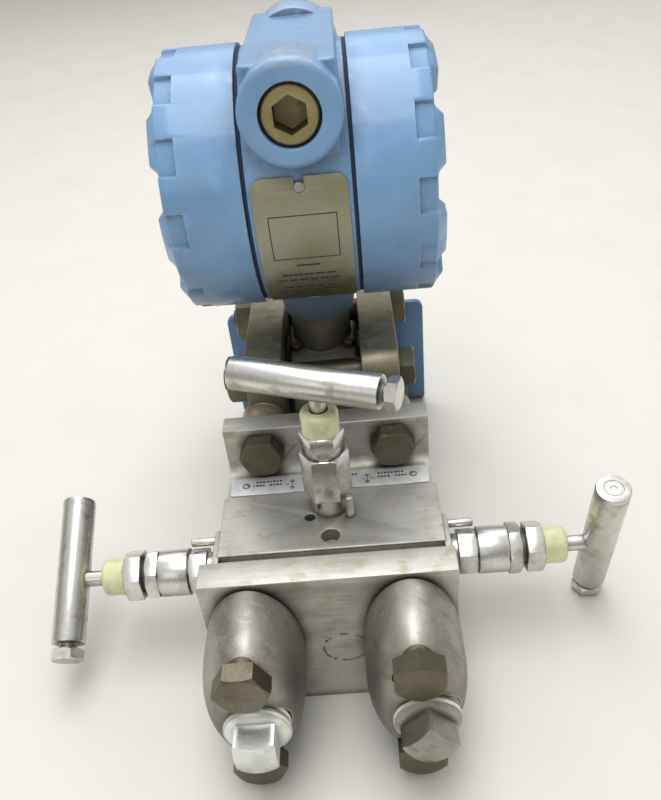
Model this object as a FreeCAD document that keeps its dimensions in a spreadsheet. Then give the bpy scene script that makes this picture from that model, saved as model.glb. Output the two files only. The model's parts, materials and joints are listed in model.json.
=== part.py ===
"""Differential pressure transmitter on a three-valve manifold (FreeCAD 1.1 macro, mm, +Z up).

X runs across the instrument, -Y is the process side and Z = 0 is the surface it rests on. The origin
is the middle of the manifold's rear flange, at its foot; places fore and aft are written from that
flange's bolting face and moved to the origin by from_datum. Every size is a cell of the sheet
"Sizes"; the objects take theirs from it by expression.
"""
import FreeCAD
import Part
import Sketcher

import math
import os

from FreeCAD import Placement, Rotation, Vector

doc = FreeCAD.newDocument("dp_transmitter")
sheet = doc.addObject("Spreadsheet::Sheet", "Sizes")

SIZES = [
    # port pattern shared by manifold, process flanges and flange adapters
    ("port_height", 32.4, "height of the process port axis"),
    ("port_half_pitch", 27.0, "half the spacing of the two process ports"),
    ("port_bolt_rise", 20.65, "half the spacing of the two bolts about a port"),
    ("port_bore", 4.5, "radius of the process passages"),
    # 7/16 inch bolting
    ("bolt_radius", 5.55, "bolt shank radius"),
    ("bolt_head_flats", 15.9, "hex head across flats"),
    ("bolt_head_height", 7.1, "hex head height"),
    ("nut_flats", 17.5, "hex nut across flats"),
    ("nut_height", 9.5, "hex nut height"),
    ("thread_fit", 0.05, "radial clearance of a bolt in its tapped hole"),
    ("hole_clearance", 0.4, "radial clearance of a bolt in a plain hole"),
    ("gasket_gap", 0.6, "thickness left for each process gasket"),
    # manifold block
    ("rear_flange_thick", 9.6, "rear flange, front to back"),
    ("rear_flange_top", 63.8, "rear flange height"),
    ("rear_half_width", 42.0, "half width of rear flange and label ledge"),
    ("ledge_depth", 17.0, "label ledge, front to back"),
    ("valve_block_half", 43.0, "half width of the valve block"),
    ("valve_block_front", 49.8, "valve block front face from the rear flange"),
    ("web_half_height", 10.3, "half height of the web about the port axis"),
    ("web_step", 3.2, "step down to the front web"),
    ("front_flange_back", 72.5, "front flange rear face from the rear flange"),
    ("front_flange_thick", 11.2, "front flange, front to back"),
    ("front_flange_top", 62.6, "front flange height"),
    ("front_half_width", 43.3, "half width of the front flange"),
    ("web_fillet", 4.5, "fillet between web and rear flange"),
    ("side_pad_thick", 2.0, "side pad around each block valve"),
    ("side_pad_back", 34.5, "side pad rear edge from the rear flange"),
    ("side_pad_length", 24.0, "side pad length"),
    ("side_pad_drop", 0.8, "side pad top edge below the web top"),
    ("spot_face_radius", 9.7, "spot face under a bolt head"),
    # valves
    ("side_valve_set", 46.2, "block valve axis from the rear flange"),
    ("top_valve_set", 25.2, "equalizing valve axis from the rear flange"),
    ("test_hole_set", 42.8, "vent hole in the web top from the rear flange"),
    ("test_hole_radius", 3.6, "vent hole radius"),
    ("pin_hole_radius", 2.1, "spare pin hole radius"),
    ("bonnet_thread", 7.0, "bonnet thread radius"),
    ("bonnet_seat", 9.0, "bonnet thread engagement"),
    ("bonnet_bore", 4.0, "stem chamber radius in the bonnet"),
    ("neck_height", 2.6, "bonnet neck under the first hex"),
    ("hex_flats", 15.5, "bonnet hex across flats"),
    ("hex_height", 7.4, "bonnet hex height"),
    ("barrel_radius", 9.0, "bonnet barrel radius"),
    ("barrel_end", 23.4, "top of the barrel from the block face"),
    ("top_base_radius", 7.05, "equalizing bonnet base radius"),
    ("top_base_height", 8.0, "equalizing bonnet base height"),
    ("top_hex_flats", 16.5, "equalizing bonnet hex across flats"),
    ("top_hex_end", 28.0, "top of the equalizing bonnet hex"),
    ("spigot_radius", 6.6, "threaded spigot of the bonnet"),
    ("spigot_start", 12.0, "foot of the threaded spigot from the block face"),
    ("spigot_end", 33.5, "top of the threaded spigot from the block face"),
    ("lock_nut_flats", 17.2, "lock nut across flats"),
    ("lock_nut_height", 5.0, "lock nut height"),
    ("gland_start", 30.0, "gland nut underside from the block face"),
    ("gland_height", 6.6, "gland nut height"),
    ("gland_wall", 1.0, "gland nut top wall"),
    ("packing_height", 1.9, "packing ring height"),
    ("cap_radius", 7.3, "dust cap radius"),
    ("cap_height", 9.0, "dust cap height"),
    ("cap_wall", 1.2, "dust cap wall"),
    ("stem_radius", 3.0, "stem radius"),
    ("stem_fit", 0.06, "running clearance round the stem"),
    ("block_bar_height", 58.4, "block valve bar axis from the block face"),
    ("top_bar_height", 57.6, "equalizing valve bar axis from the block face"),
    ("block_lift", 1.0, "block valve needle off its seat at rest"),
    ("top_lift", 0.3, "equalizing valve needle off its seat at rest"),
    ("seat_entry", 1.8, "depth of a shut needle in its seat"),
    ("needle_length", 9.0, "needle length"),
    ("seat_radius", 2.4, "valve seat radius"),
    ("bar_radius", 6.35, "handle bar radius"),
    ("bar_long", 32.5, "handle bar, plain end from the stem axis"),
    ("bar_short", 22.0, "handle bar, screw end from the stem axis"),
    ("bar_screw_neck", 3.4, "thread showing between bar and screw head"),
    ("bar_screw_flats", 11.1, "handle screw across flats"),
    ("bar_screw_head", 5.6, "handle screw head height"),
    ("pin_radius", 1.6, "lock pin radius"),
    ("pin_length", 9.6, "lock pin length outside the block"),
    ("pin_seat", 6.0, "lock pin length inside the block"),
    # label plate
    ("label_thick", 0.5, "label plate thickness"),
    ("label_half", 40.6, "label plate half width"),
    ("label_front", 16.4, "label plate front edge from the rear flange"),
    ("label_back", 5.6, "label plate rear edge from the rear flange"),
    ("rivet_radius", 1.6, "drive rivet head radius"),
    # flange adapters and plugs
    ("adapter_half_width", 16.8, "flange adapter half width"),
    ("adapter_half_height", 29.0, "flange adapter half height"),
    ("adapter_depth", 33.0, "flange adapter depth"),
    ("adapter_round", 9.2, "rounding of the adapter's front edge"),
    ("adapter_bolt_seat", 28.6, "bolt seat from the adapter's back"),
    ("adapter_offset", 2.0, "port offset that lets the adapters be turned"),
    ("pipe_radius", 10.6, "half inch pipe thread radius"),
    ("plug_square", 13.2, "pipe plug square across flats"),
    ("plug_head", 8.6, "pipe plug square length"),
    ("plug_collar", 2.6, "thread left showing on a fitted plug"),
    ("plug_engaged", 16.0, "thread length of a pipe plug in its adapter"),
    ("adapter_passage", 12.0, "depth of the plain passage behind the pipe thread"),
    # process flanges and sensor
    ("centre_set", 62.5, "transmitter axis from the rear flange"),
    ("flange_inner", 16.8, "process flange inner face from the centre"),
    ("flange_outer", 32.5, "process flange outer face from the centre"),
    ("flange_top", 81.0, "process flange height"),
    ("flange_front", 20.0, "process flange front face from the rear flange"),
    ("flange_back", 99.8, "process flange rear face from the rear flange"),
    ("flange_round", 8.0, "process flange corner radius"),
    ("flange_boss", 9.6, "bolt boss radius"),
    ("body_bolt_half", 27.0, "half the fore and aft spacing of the body bolts"),
    ("body_bolt_low", 10.0, "lower body bolt height"),
    ("body_bolt_high", 66.0, "upper body bolt height"),
    ("sensor_radius", 32.6, "sensor module radius"),
    ("sensor_half", 15.6, "sensor module half width"),
    ("sensor_neck", 13.3, "sensor neck radius"),
    ("cell_radius", 24.0, "diaphragm radius"),
    # electronics housing
    ("neck_show", 4.0, "neck showing between the process flanges and the housing foot"),
    ("housing_radius", 48.3, "centre section radius"),
    ("foot_proud", 10.7, "housing foot below the centre section"),
    ("housing_half", 18.9, "centre section half width"),
    ("cover_proud", 1.2, "cover radius beyond the centre section's"),
    ("cover_gap", 1.3, "gap for the cover seal"),
    ("cover_end", 52.3, "cover end face from the centre"),
    ("cover_wall", 4.6, "cover skirt wall"),
    ("cover_chamfer", 3.2, "cover edge chamfer"),
    ("notch_length", 5.7, "cover notch length along the axis"),
    ("notch_width", 12.6, "cover notch width"),
    ("notch_depth", 1.5, "cover notch depth"),
    ("throat_reach", 38.0, "threaded throat end from the centre"),
    ("throat_wall", 4.4, "threaded throat wall"),
    ("bulkhead_half", 2.5, "half thickness of the dividing wall"),
    ("pad_half", 16.4, "top pad half width"),
    ("pad_proud", 3.5, "top pad above the centre section"),
    ("pad_set", 4.7, "top pad front edge behind the centre section's radius"),
    ("conduit_set", 11.1, "conduit axis below the centre section's top"),
    ("conduit_boss", 17.8, "conduit boss radius"),
    ("boss_proud", 4.0, "conduit boss face beyond the centre section"),
    ("conduit_thread", 20.0, "conduit entry thread length"),
    ("conduit_passage", 8.0, "radius of the wire passage behind a conduit entry"),
    ("wire_passage", 5.0, "radius of the passage from the sensor neck"),
    ("terminal_clear", 7.4, "ring left round the terminal block for the conduit entries"),
    ("board_clear", 2.5, "ring left round each circuit board"),
    ("post_set", 11.4, "board posts inside the compartment wall"),
    ("conduit_plug_drop", 1.0, "conduit plug below its boss face"),
    ("conduit_hex", 11.2, "conduit plug hex socket across flats"),
    ("foot_half", 17.6, "housing foot half width"),
    ("plate_half", 17.3, "nameplate half width"),
    ("plate_thick", 0.7, "nameplate thickness"),
    ("plate_top_angle", 18.5, "nameplate top edge above horizontal, degrees"),
    ("plate_sweep", 86.0, "nameplate sweep, degrees"),
    ("plate_corner", 4.5, "nameplate corner radius"),
    ("plate_slot_half", 1.75, "half width of the slot from the nameplate's top edge"),
    ("plate_slot", 3.0, "length of that slot"),
    # mounting bracket
    ("bracket_half", 49.6, "bracket half width"),
    ("bracket_top", 62.0, "bracket height"),
    ("bracket_thick", 3.2, "bracket plate thickness"),
    ("bracket_foot", 56.0, "bracket foot length"),
    ("bracket_bend", 5.0, "bracket inside bend radius"),
    ("bracket_bolt_low", 26.0, "lower bracket bolt height"),
    ("bracket_bolt_high", 51.5, "upper bracket bolt height"),
    ("slot_half_pitch", 36.5, "half spacing of the pipe clamp holes"),
    ("slot_radius", 4.7, "pipe clamp hole radius"),
]


class Size:
    """A number together with the sheet expression that gives it."""

    def __init__(self, value, text):
        self.value = value
        self.text = text

    def __add__(self, other):
        other = size(other)
        return Size(self.value + other.value, f"({self.text} + {other.text})")

    def __sub__(self, other):
        other = size(other)
        return Size(self.value - other.value, f"({self.text} - {other.text})")

    def __mul__(self, factor):
        factor = size(factor)
        return Size(self.value * factor.value, f"({self.text} * {factor.text})")

    def __truediv__(self, factor):
        factor = size(factor)
        return Size(self.value / factor.value, f"({self.text} / {factor.text})")

    def __radd__(self, other):
        return size(other) + self

    def __rsub__(self, other):
        return size(other) - self

    def __rmul__(self, other):
        return size(other) * self

    def __neg__(self):
        return size(0) - self


def size(value):
    if isinstance(value, Size):
        return value
    return Size(float(value), f"({float(value)!r})")


class Sizes:
    """The sheet's cells by alias."""


S = Sizes()
for row, (alias, value, note) in enumerate(SIZES, start=1):
    sheet.set(f"A{row}", note)
    sheet.set(f"B{row}", str(value))
    sheet.setAlias(f"B{row}", alias)
    setattr(S, alias, Size(value, f"Sizes.{alias}"))
# sizes that follow from the centre section's radius
S.foot_drop = S.housing_radius + S.foot_proud
S.housing_height = S.flange_top + S.neck_show + S.foot_drop
S.cover_radius = S.housing_radius + S.cover_proud
S.pad_rise = S.housing_radius + S.pad_proud
S.pad_reach = S.housing_radius - S.pad_set
S.conduit_rise = S.housing_radius - S.conduit_set
S.conduit_reach = S.housing_radius + S.boss_proud
doc.recompute()

TURN = {
    "X": Rotation(Vector(0, 0, 1), Vector(1, 0, 0)),
    "-X": Rotation(Vector(0, 0, 1), Vector(-1, 0, 0)),
    "Y": Rotation(Vector(0, 0, 1), Vector(0, 1, 0)),
    "-Y": Rotation(Vector(0, 0, 1), Vector(0, -1, 0)),
    "Z": Rotation(),
}
SIDES = (("left", -1), ("right", 1))
EXPORTS = []


def bind(obj, **properties):
    """Drive the named properties from the sheet."""
    for name, value in properties.items():
        obj.setExpression(name, size(value).text)


def place(obj, at=(0, 0, 0), axis="Z", spin=0.0):
    """Put an object's origin at a point, its local Z along an axis, turned by spin about it."""
    point = [size(c) for c in at]
    turn = TURN[axis] if isinstance(axis, str) else axis
    turn = turn.multiply(Rotation(Vector(0, 0, 1), spin))
    obj.Placement = Placement(Vector(*[c.value for c in point]), turn)
    for letter, coordinate in zip("xyz", point):
        obj.setExpression(f"Placement.Base.{letter}", coordinate.text)
    return obj


def from_datum(point):
    """A point written from the rear flange's bolting face, moved to the origin's frame."""
    return (point[0], size(point[1]) - S.rear_flange_thick / 2, point[2])


def body(label, at=(0, 0, 0), axis="Z", spin=0.0, export=True):
    made = doc.addObject("PartDesign::Body", label)
    made.Label = label
    place(made, from_datum(at), axis, spin)
    if export:
        EXPORTS.append(made)
    return made


def origin_plane(of_body, role):
    return [f for f in of_body.Origin.OriginFeatures if f.Role == role][0]


def sketch(of_body, role="XY_Plane", offset=0):
    made = of_body.newObject("Sketcher::SketchObject", "Sketch")
    made.AttachmentSupport = [(origin_plane(of_body, role), "")]
    made.MapMode = "FlatFace"
    made.AttachmentOffset = Placement(Vector(0, 0, size(offset).value), Rotation())
    made.setExpression("AttachmentOffset.Base.z", size(offset).text)
    return made


def _constrain(made, kind, value, *where):
    index = made.addConstraint(Sketcher.Constraint(kind, *where, size(value).value))
    made.setExpression(f"Constraints[{index}]", size(value).text)


def outline(made, points):
    """Closed outline through points whose coordinates are sizes."""
    points = [(size(u), size(v)) for u, v in points]
    spots = [Vector(u.value, v.value, 0) for u, v in points]
    count = len(points)
    for i in range(count):
        made.addGeometry(Part.LineSegment(spots[i], spots[(i + 1) % count]), False)
    for i in range(count):
        made.addConstraint(Sketcher.Constraint("Coincident", i, 2, (i + 1) % count, 1))
    for i, (u, v) in enumerate(points):
        for kind, value, axis_line in (("DistanceX", u, -2), ("DistanceY", v, -1)):
            if value.value == 0:
                made.addConstraint(Sketcher.Constraint("PointOnObject", i, 1, axis_line))
            else:
                _constrain(made, kind, value, -1, 1, i, 1)
    return made


def circle(made, radius, centre=(0, 0)):
    u, v = size(centre[0]), size(centre[1])
    index = made.addGeometry(
        Part.Circle(Vector(u.value, v.value, 0), Vector(0, 0, 1), size(radius).value), False)
    _constrain(made, "Radius", radius, index)
    for kind, value, axis_line in (("DistanceX", u, -2), ("DistanceY", v, -1)):
        if value.value == 0:
            made.addConstraint(Sketcher.Constraint("PointOnObject", index, 3, axis_line))
        else:
            _constrain(made, kind, value, -1, 1, index, 3)
    return made


def revolve(of_body, points, cut=False, angle=None):
    """Turn an outline of (radius, height) points about the body's Z axis."""
    profile = outline(sketch(of_body, "XZ_Plane"), points)
    kind = "PartDesign::Groove" if cut else "PartDesign::Revolution"
    made = of_body.newObject(kind, "Revolve")
    made.Profile = profile
    made.ReferenceAxis = (profile, ["V_Axis"])
    made.Angle = 360
    if angle is not None:
        bind(made, Angle=angle)
    profile.Visibility = False
    return made


def pad(of_body, profile, length, both_ways=False):
    made = of_body.newObject("PartDesign::Pad", "Pad")
    made.Profile = profile
    made.Midplane = both_ways
    bind(made, Length=length)
    return made


def solid(of_body, kind, at=(0, 0, 0), axis="Z", spin=0.0, **properties):
    """Add or take away a primitive: kind is AdditiveBox, SubtractiveCylinder and so on."""
    made = of_body.newObject(f"PartDesign::{kind}", kind)
    place(made, at, axis, spin)
    bind(made, **properties)
    return made


def bar(of_body, radius, start, length, axis="Z", cut=False):
    kind = "SubtractiveCylinder" if cut else "AdditiveCylinder"
    return solid(of_body, kind, start, axis, Radius=radius, Height=length)


def block(of_body, low, high, cut=False):
    """Box between two corners."""
    low = [size(c) for c in low]
    high = [size(c) for c in high]
    kind = "SubtractiveBox" if cut else "AdditiveBox"
    return solid(of_body, kind, low, Length=high[0] - low[0], Width=high[1] - low[1],
                 Height=high[2] - low[2])


def hexagon(of_body, flats, start, height, cut=False, axis="Z", spin=0.0):
    kind = "SubtractivePrism" if cut else "AdditivePrism"
    made = solid(of_body, kind, start, axis, spin, Circumradius=size(flats) / math.sqrt(3),
                 Height=height)
    made.Polygon = 6
    return made


def edges(of_body, wanted):
    """Names of the tip's edges for which wanted(edge) is true, in the body's own frame."""
    doc.recompute()
    shape = of_body.Tip.Shape
    return [f"Edge{i + 1}" for i, edge in enumerate(shape.Edges) if wanted(edge)]


def soften(of_body, wanted, radius, kind="Fillet"):
    names = edges(of_body, wanted)
    if not names:
        raise ValueError(f"no edge to soften on {of_body.Label}")
    made = of_body.newObject(f"PartDesign::{kind}", kind)
    made.Base = (of_body.Tip if of_body.Tip != made else made.BaseFeature, names)
    bind(made, **({"Radius": radius} if kind == "Fillet" else {"Size": radius}))
    of_body.Tip = made
    return made


def runs_along(edge, direction):
    """True for a straight edge parallel to a direction."""
    if edge.Curve.TypeId != "Part::GeomLine":
        return False
    return abs(abs(edge.Curve.Direction.dot(direction)) - 1) < 1e-6


def centre(edge):
    return edge.BoundBox.Center


def near(a, b):
    return abs(a - size(b).value) < 0.05


def group(label, member, places):
    """One node of like pieces: the member repeated at (point, axis, spin) places."""
    links = []
    for point, axis, spin in places:
        link = doc.addObject("App::Link", label + "_piece")
        link.LinkedObject = member
        place(link, from_datum(point), axis, spin)
        links.append(link)
    made = doc.addObject("Part::Compound", label)
    made.Label = label
    made.Links = links
    EXPORTS.append(made)
    return made


X, Y, Z = Vector(1, 0, 0), Vector(0, 1, 0), Vector(0, 0, 1)
BRACKET_LEVELS = (S.bracket_bolt_low, S.bracket_bolt_high)
BOLT_LEVELS = (S.port_height - S.port_bolt_rise, S.port_height + S.port_bolt_rise)
web_top = S.port_height + S.web_half_height
front_face = S.front_flange_back + S.front_flange_thick


# ---------------------------------------------------------------- manifold
def manifold_body():
    made = body("manifold_body")
    low = S.port_height - S.web_half_height
    ledge = -S.ledge_depth
    step = -S.valve_block_front
    block(made, (-S.rear_half_width, 0, 0), (S.rear_half_width, S.rear_flange_thick, S.rear_flange_top))
    block(made, (-S.rear_half_width, ledge, low), (S.rear_half_width, 0, web_top))
    block(made, (-S.valve_block_half, step, low), (S.valve_block_half, ledge, web_top))
    block(made, (-S.valve_block_half, -S.front_flange_back, low + S.web_step),
          (S.valve_block_half, step, web_top - S.web_step))
    block(made, (-S.front_half_width, -front_face, 0),
          (S.front_half_width, -S.front_flange_back, S.front_flange_top))
    half = S.valve_block_half + S.side_pad_thick
    pad_end = S.side_pad_back + S.side_pad_length
    for inner, outer in ((-half, 0.5 - S.valve_block_half), (S.valve_block_half - 0.5, half)):
        block(made, (inner, -pad_end, low + S.side_pad_drop),
              (outer, -S.side_pad_back, web_top - S.side_pad_drop))

    def inner_corner(edge):
        middle = centre(edge)
        levels = (low.value, web_top.value)
        return (runs_along(edge, X) and abs(middle.y) < 0.01 and abs(middle.x) < 0.01
                and any(abs(middle.z - z) < 0.01 for z in levels))

    soften(made, inner_corner, S.web_fillet)

    def pad_corner(edge):
        return runs_along(edge, Z) and near(abs(centre(edge).x), half)

    soften(made, pad_corner, 1.6)

    def step_edge(edge):
        middle = centre(edge)
        return runs_along(edge, X) and near(middle.y, step) and near(middle.z, web_top)

    soften(made, step_edge, 0.7)
    for side in (-1, 1):
        port = side * S.port_half_pitch
        for level in BOLT_LEVELS:
            bar(made, S.spot_face_radius, (port, 0, level), S.bolt_head_height + 3, "-Y", cut=True)
            bar(made, S.bolt_radius + S.hole_clearance, (port, S.rear_flange_thick, level),
                S.rear_flange_thick + 1, "-Y", cut=True)
            bar(made, S.bolt_radius + S.thread_fit, (port, -front_face, level),
                S.front_flange_thick, "Y", cut=True)
        # process passage in from the adapter, out to the transmitter, and the crossing to the middle
        bar(made, S.port_bore, (port, -front_face, S.port_height), front_face - S.side_valve_set + 2,
            "Y", cut=True)
        bar(made, S.port_bore, (port, S.rear_flange_thick, S.port_height),
            S.rear_flange_thick + S.top_valve_set + 2, "-Y", cut=True)
        bar(made, S.seat_radius, (port, -S.side_valve_set, S.port_height),
            S.side_valve_set - S.top_valve_set, "Y", cut=True)
        axis = "X" if side > 0 else "-X"
        bar(made, S.seat_radius + 0.1, (port, -S.side_valve_set, S.port_height), half - S.port_half_pitch,
            axis, cut=True)
        bar(made, S.bonnet_thread + S.thread_fit, (side * (half - S.bonnet_seat),
            -S.side_valve_set, S.port_height), S.bonnet_seat + 1, axis, cut=True)
        bar(made, S.pin_radius + 0.02, (side * (half - S.pin_seat), *side_pin), S.pin_seat + 1, axis,
            cut=True)
    bar(made, S.seat_radius, (-S.port_half_pitch, -S.top_valve_set, S.port_height),
        S.port_half_pitch * 2, "X", cut=True)
    bar(made, S.seat_radius + 0.1, (0, -S.top_valve_set, S.port_height), S.web_half_height, cut=True)
    bar(made, S.bonnet_thread + S.thread_fit, (0, -S.top_valve_set, web_top - top_seat),
        top_seat + 1, cut=True)
    bar(made, S.pin_radius + 0.02, (top_pin[0], top_pin[1], web_top - S.pin_seat), S.pin_seat + 1,
        cut=True)
    bar(made, S.test_hole_radius, (0, -S.test_hole_set, web_top - 6), 7, cut=True)
    bar(made, S.pin_hole_radius, (-top_pin[0], top_pin[1] + 0.4, web_top - S.pin_seat),
        S.pin_seat + 1, cut=True)
    return made


side_pin = (-S.side_valve_set + 8.2, S.port_height + 7.2)
top_pin = (size(7.9), -S.top_valve_set - 7.0)
top_seat = S.bonnet_seat - 2.0
manifold_body()

lock_pin = body("lock_pin", export=False)
bar(lock_pin, S.pin_radius, (0, 0, -S.pin_seat), S.pin_length + S.pin_seat)
soften(lock_pin, lambda e: near(centre(e).z, S.pin_length), 0.4, "Chamfer")
pad_face = S.valve_block_half + S.side_pad_thick
group("lock_pins", lock_pin, [
    ((-pad_face, *side_pin), "-X", 0), ((pad_face, *side_pin), "X", 0),
    ((top_pin[0], top_pin[1], web_top), "Z", 0)])

label_plate = body("label_plate", (0, 0, web_top))
block(label_plate, (-S.label_half, -S.label_front, 0), (S.label_half, -S.label_back, S.label_thick))
soften(label_plate, lambda e: runs_along(e, Z), 1.0)
bar(label_plate, S.bonnet_thread + 2.6, (0, -S.top_valve_set, 0), S.label_thick, cut=True)
RIVETS = [(side * (S.label_half - 6.2), -(S.label_front + S.label_back) / 2) for side in (-1, 1)]
for side in (-1, 1):
    bar(label_plate, S.spot_face_radius + 0.1, (side * S.port_half_pitch, 0, BOLT_LEVELS[1] - web_top),
        S.label_front, "-Y", cut=True)
rivet = body("rivet", export=False)
revolve(rivet, [(0, 0), (S.rivet_radius, 0), (S.rivet_radius * 0.9, 0.45), (S.rivet_radius * 0.45, 0.8), (0, 0.9)])
group("label_rivets", rivet, [((x, y, web_top + S.label_thick), "Z", 0) for x, y in RIVETS])


def hex_bolt(label, length):
    """Hex bolt seated at its origin, head above, shank below."""
    made = body(label, export=False)
    hexagon(made, S.bolt_head_flats, (0, 0, 0), S.bolt_head_height)
    crown = S.bolt_head_flats / 2
    corner = crown * 1.1547 + 0.3
    revolve(made, [(crown * 0.95, S.bolt_head_height + 0.1), (corner, S.bolt_head_height + 0.1),
                   (corner, S.bolt_head_height - 1.3)], cut=True)
    bar(made, S.bolt_radius, (0, 0, -length), length)
    soften(made, lambda e: near(centre(e).z, -length) and e.Curve.TypeId == "Part::GeomCircle", 1.2, "Chamfer")
    return made


manifold_bolt = hex_bolt("manifold_bolt", S.rear_flange_thick + S.gasket_gap + 14)
group("manifold_bolts", manifold_bolt, [
    ((side * S.port_half_pitch, 0, level), "-Y", 0) for side in (-1, 1) for level in BOLT_LEVELS])


# ---------------------------------------------------------------- process flanges and sensor
flange_face = S.rear_flange_thick + S.gasket_gap
bolt_rows = (S.centre_set - S.body_bolt_half, S.centre_set + S.body_bolt_half)
sensor_height = (S.body_bolt_low + S.body_bolt_high) / 2
for name, side in SIDES:
    flange = body(f"{name}_process_flange")
    plane = sketch(flange, "YZ_Plane", side * (S.flange_inner + S.flange_outer) / 2)
    outline(plane, [(S.flange_front, 0), (S.flange_back, 0), (S.flange_back, S.flange_top),
                    (S.flange_front, S.flange_top)])
    pad(flange, plane, S.flange_outer - S.flange_inner, both_ways=True)
    soften(flange, lambda e: runs_along(e, X) and centre(e).z > 1, S.flange_round)
    for level in BOLT_LEVELS:
        bar(flange, S.flange_boss, (side * S.port_half_pitch, flange_face, level), 13.5, "Y")
    solid(flange, "AdditiveCone", (side * S.port_half_pitch, flange_face, S.port_height), "Y",
          Radius1=S.flange_boss + 2.4, Radius2=S.flange_boss, Height=15)
    outer = side * (S.flange_outer + 1)
    across = "-X" if side > 0 else "X"
    for row in bolt_rows:
        for level in (S.body_bolt_low, S.body_bolt_high):
            bar(flange, S.bolt_radius + S.hole_clearance, (outer, row, level),
                S.flange_outer - S.flange_inner + 2, across, cut=True)
    for level in BOLT_LEVELS:
        bar(flange, S.bolt_radius + S.thread_fit, (side * S.port_half_pitch, flange_face, level), 17,
            "Y", cut=True)
    for level in BRACKET_LEVELS:
        bar(flange, S.bolt_radius + S.thread_fit, (side * S.port_half_pitch, S.flange_back, level), 15,
            "-Y", cut=True)
    bar(flange, S.port_bore, (side * S.port_half_pitch, flange_face, S.port_height),
        S.centre_set - flange_face, "Y", cut=True)
    bar(flange, S.port_bore * 0.7, (side * (S.flange_inner - 1), S.centre_set, S.port_height),
        S.port_half_pitch - S.flange_inner + 1, "X" if side > 0 else "-X", cut=True)
    bar(flange, S.cell_radius, (side * (S.flange_inner - 1), S.centre_set, sensor_height), 2.2,
        "X" if side > 0 else "-X", cut=True)

sensor = body("sensor_module", (0, S.centre_set, sensor_height))
bar(sensor, S.sensor_radius, (-S.sensor_half, 0, 0), S.sensor_half * 2, "X")
soften(sensor, lambda e: e.Curve.TypeId == "Part::GeomCircle", 1.5, "Chamfer")
neck_top = S.housing_height - S.foot_drop + 9 - sensor_height
bar(sensor, S.sensor_neck, (0, 0, 0), neck_top)
bar(sensor, S.sensor_radius - 4.6, (S.sensor_half - 1.2, 0, 0), 2, "X", cut=True)
bar(sensor, S.sensor_radius - 4.6, (-S.sensor_half + 1.2, 0, 0), 2, "-X", cut=True)
bar(sensor, S.sensor_neck - 5, (0, 0, 22), neck_top, cut=True)
FILL_LEAN = math.radians(18)
fill_axis = Vector(0, -math.sin(FILL_LEAN), math.cos(FILL_LEAN))
fill_turn = Rotation(Vector(0, 0, 1), fill_axis)
fill_foot = [(side * (S.sensor_half - 3.6), -S.sensor_radius * math.sin(FILL_LEAN),
              S.sensor_radius * math.cos(FILL_LEAN)) for side in (-1, 1)]
for foot in fill_foot:
    bar(sensor, 1.55, foot, 4, Rotation(Vector(0, 0, 1), fill_axis * -1), cut=True)

seal_ring = body("seal_ring", export=False)
revolve(seal_ring, [(S.cell_radius + 0.4, 0), (S.sensor_radius - 4.8, 0),
                    (S.sensor_radius - 4.8, S.flange_inner - S.sensor_half + 1.2),
                    (S.cell_radius + 0.4, S.flange_inner - S.sensor_half + 1.2)])
group("module_seals", seal_ring, [
    ((S.sensor_half - 1.2, S.centre_set, sensor_height), "X", 0),
    ((1.2 - S.sensor_half, S.centre_set, sensor_height), "-X", 0)])
diaphragm = body("diaphragm", export=False)
revolve(diaphragm, [(0, 0.2), (4, 0.5), (8, 0.2), (12, 0.5), (16, 0.2), (20, 0.5), (S.cell_radius, 0),
                    (S.cell_radius, 0.5), (20, 0.9), (16, 0.6), (12, 0.9), (8, 0.6), (4, 0.9), (0, 0.6)])
group("isolating_diaphragms", diaphragm, [
    ((S.sensor_half - 1.2, S.centre_set, sensor_height), "X", 0),
    ((1.2 - S.sensor_half, S.centre_set, sensor_height), "-X", 0)])

body_bolt = hex_bolt("body_bolt", S.flange_outer * 2 + S.nut_height + 1.4)
group("body_bolts", body_bolt, [
    ((S.flange_outer, row, level), "X", 0) for row in bolt_rows
    for level in (S.body_bolt_low, S.body_bolt_high)])
nut = body("nut", export=False)
hexagon(nut, S.nut_flats, (0, 0, 0), S.nut_height)
for flip in (0, 1):
    end = S.nut_height if flip else size(0)
    rise = size(-1.3) if flip else size(1.3)
    lip = size(0.1) if flip else size(-0.1)
    revolve(nut, [(S.nut_flats * 0.47, end + lip), (S.nut_flats * 0.62, end + lip),
                  (S.nut_flats * 0.62, end + rise)], cut=True)
bar(nut, S.bolt_radius + S.thread_fit, (0, 0, -1), S.nut_height + 2, cut=True)
NUT_TURN = 30
group("body_nuts", nut, [
    ((-S.flange_outer, row, level), "-X", NUT_TURN) for row in bolt_rows
    for level in (S.body_bolt_low, S.body_bolt_high)])

fill_plug = body("fill_plug", export=False)
hexagon(fill_plug, 4.8, (0, 0, 0.02), 3.4)
bar(fill_plug, 1.5, (0, 0, -3), 3.2)
group("fill_plugs", fill_plug, [
    ((x, S.centre_set + y, sensor_height + z), fill_turn, 0) for x, y, z in fill_foot])


# ---------------------------------------------------------------- flange adapters and plugs
gasket = body("process_gasket", export=False)
revolve(gasket, [(S.port_bore + 0.6, 0), (S.port_bore + 3.2, 0), (S.port_bore + 3.2, S.gasket_gap),
                 (S.port_bore + 0.6, S.gasket_gap)])
group("process_gaskets", gasket, [
    ((side * S.port_half_pitch, y, S.port_height), "Y", 0)
    for side in (-1, 1) for y in (S.rear_flange_thick, -front_face - S.gasket_gap)])

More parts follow.
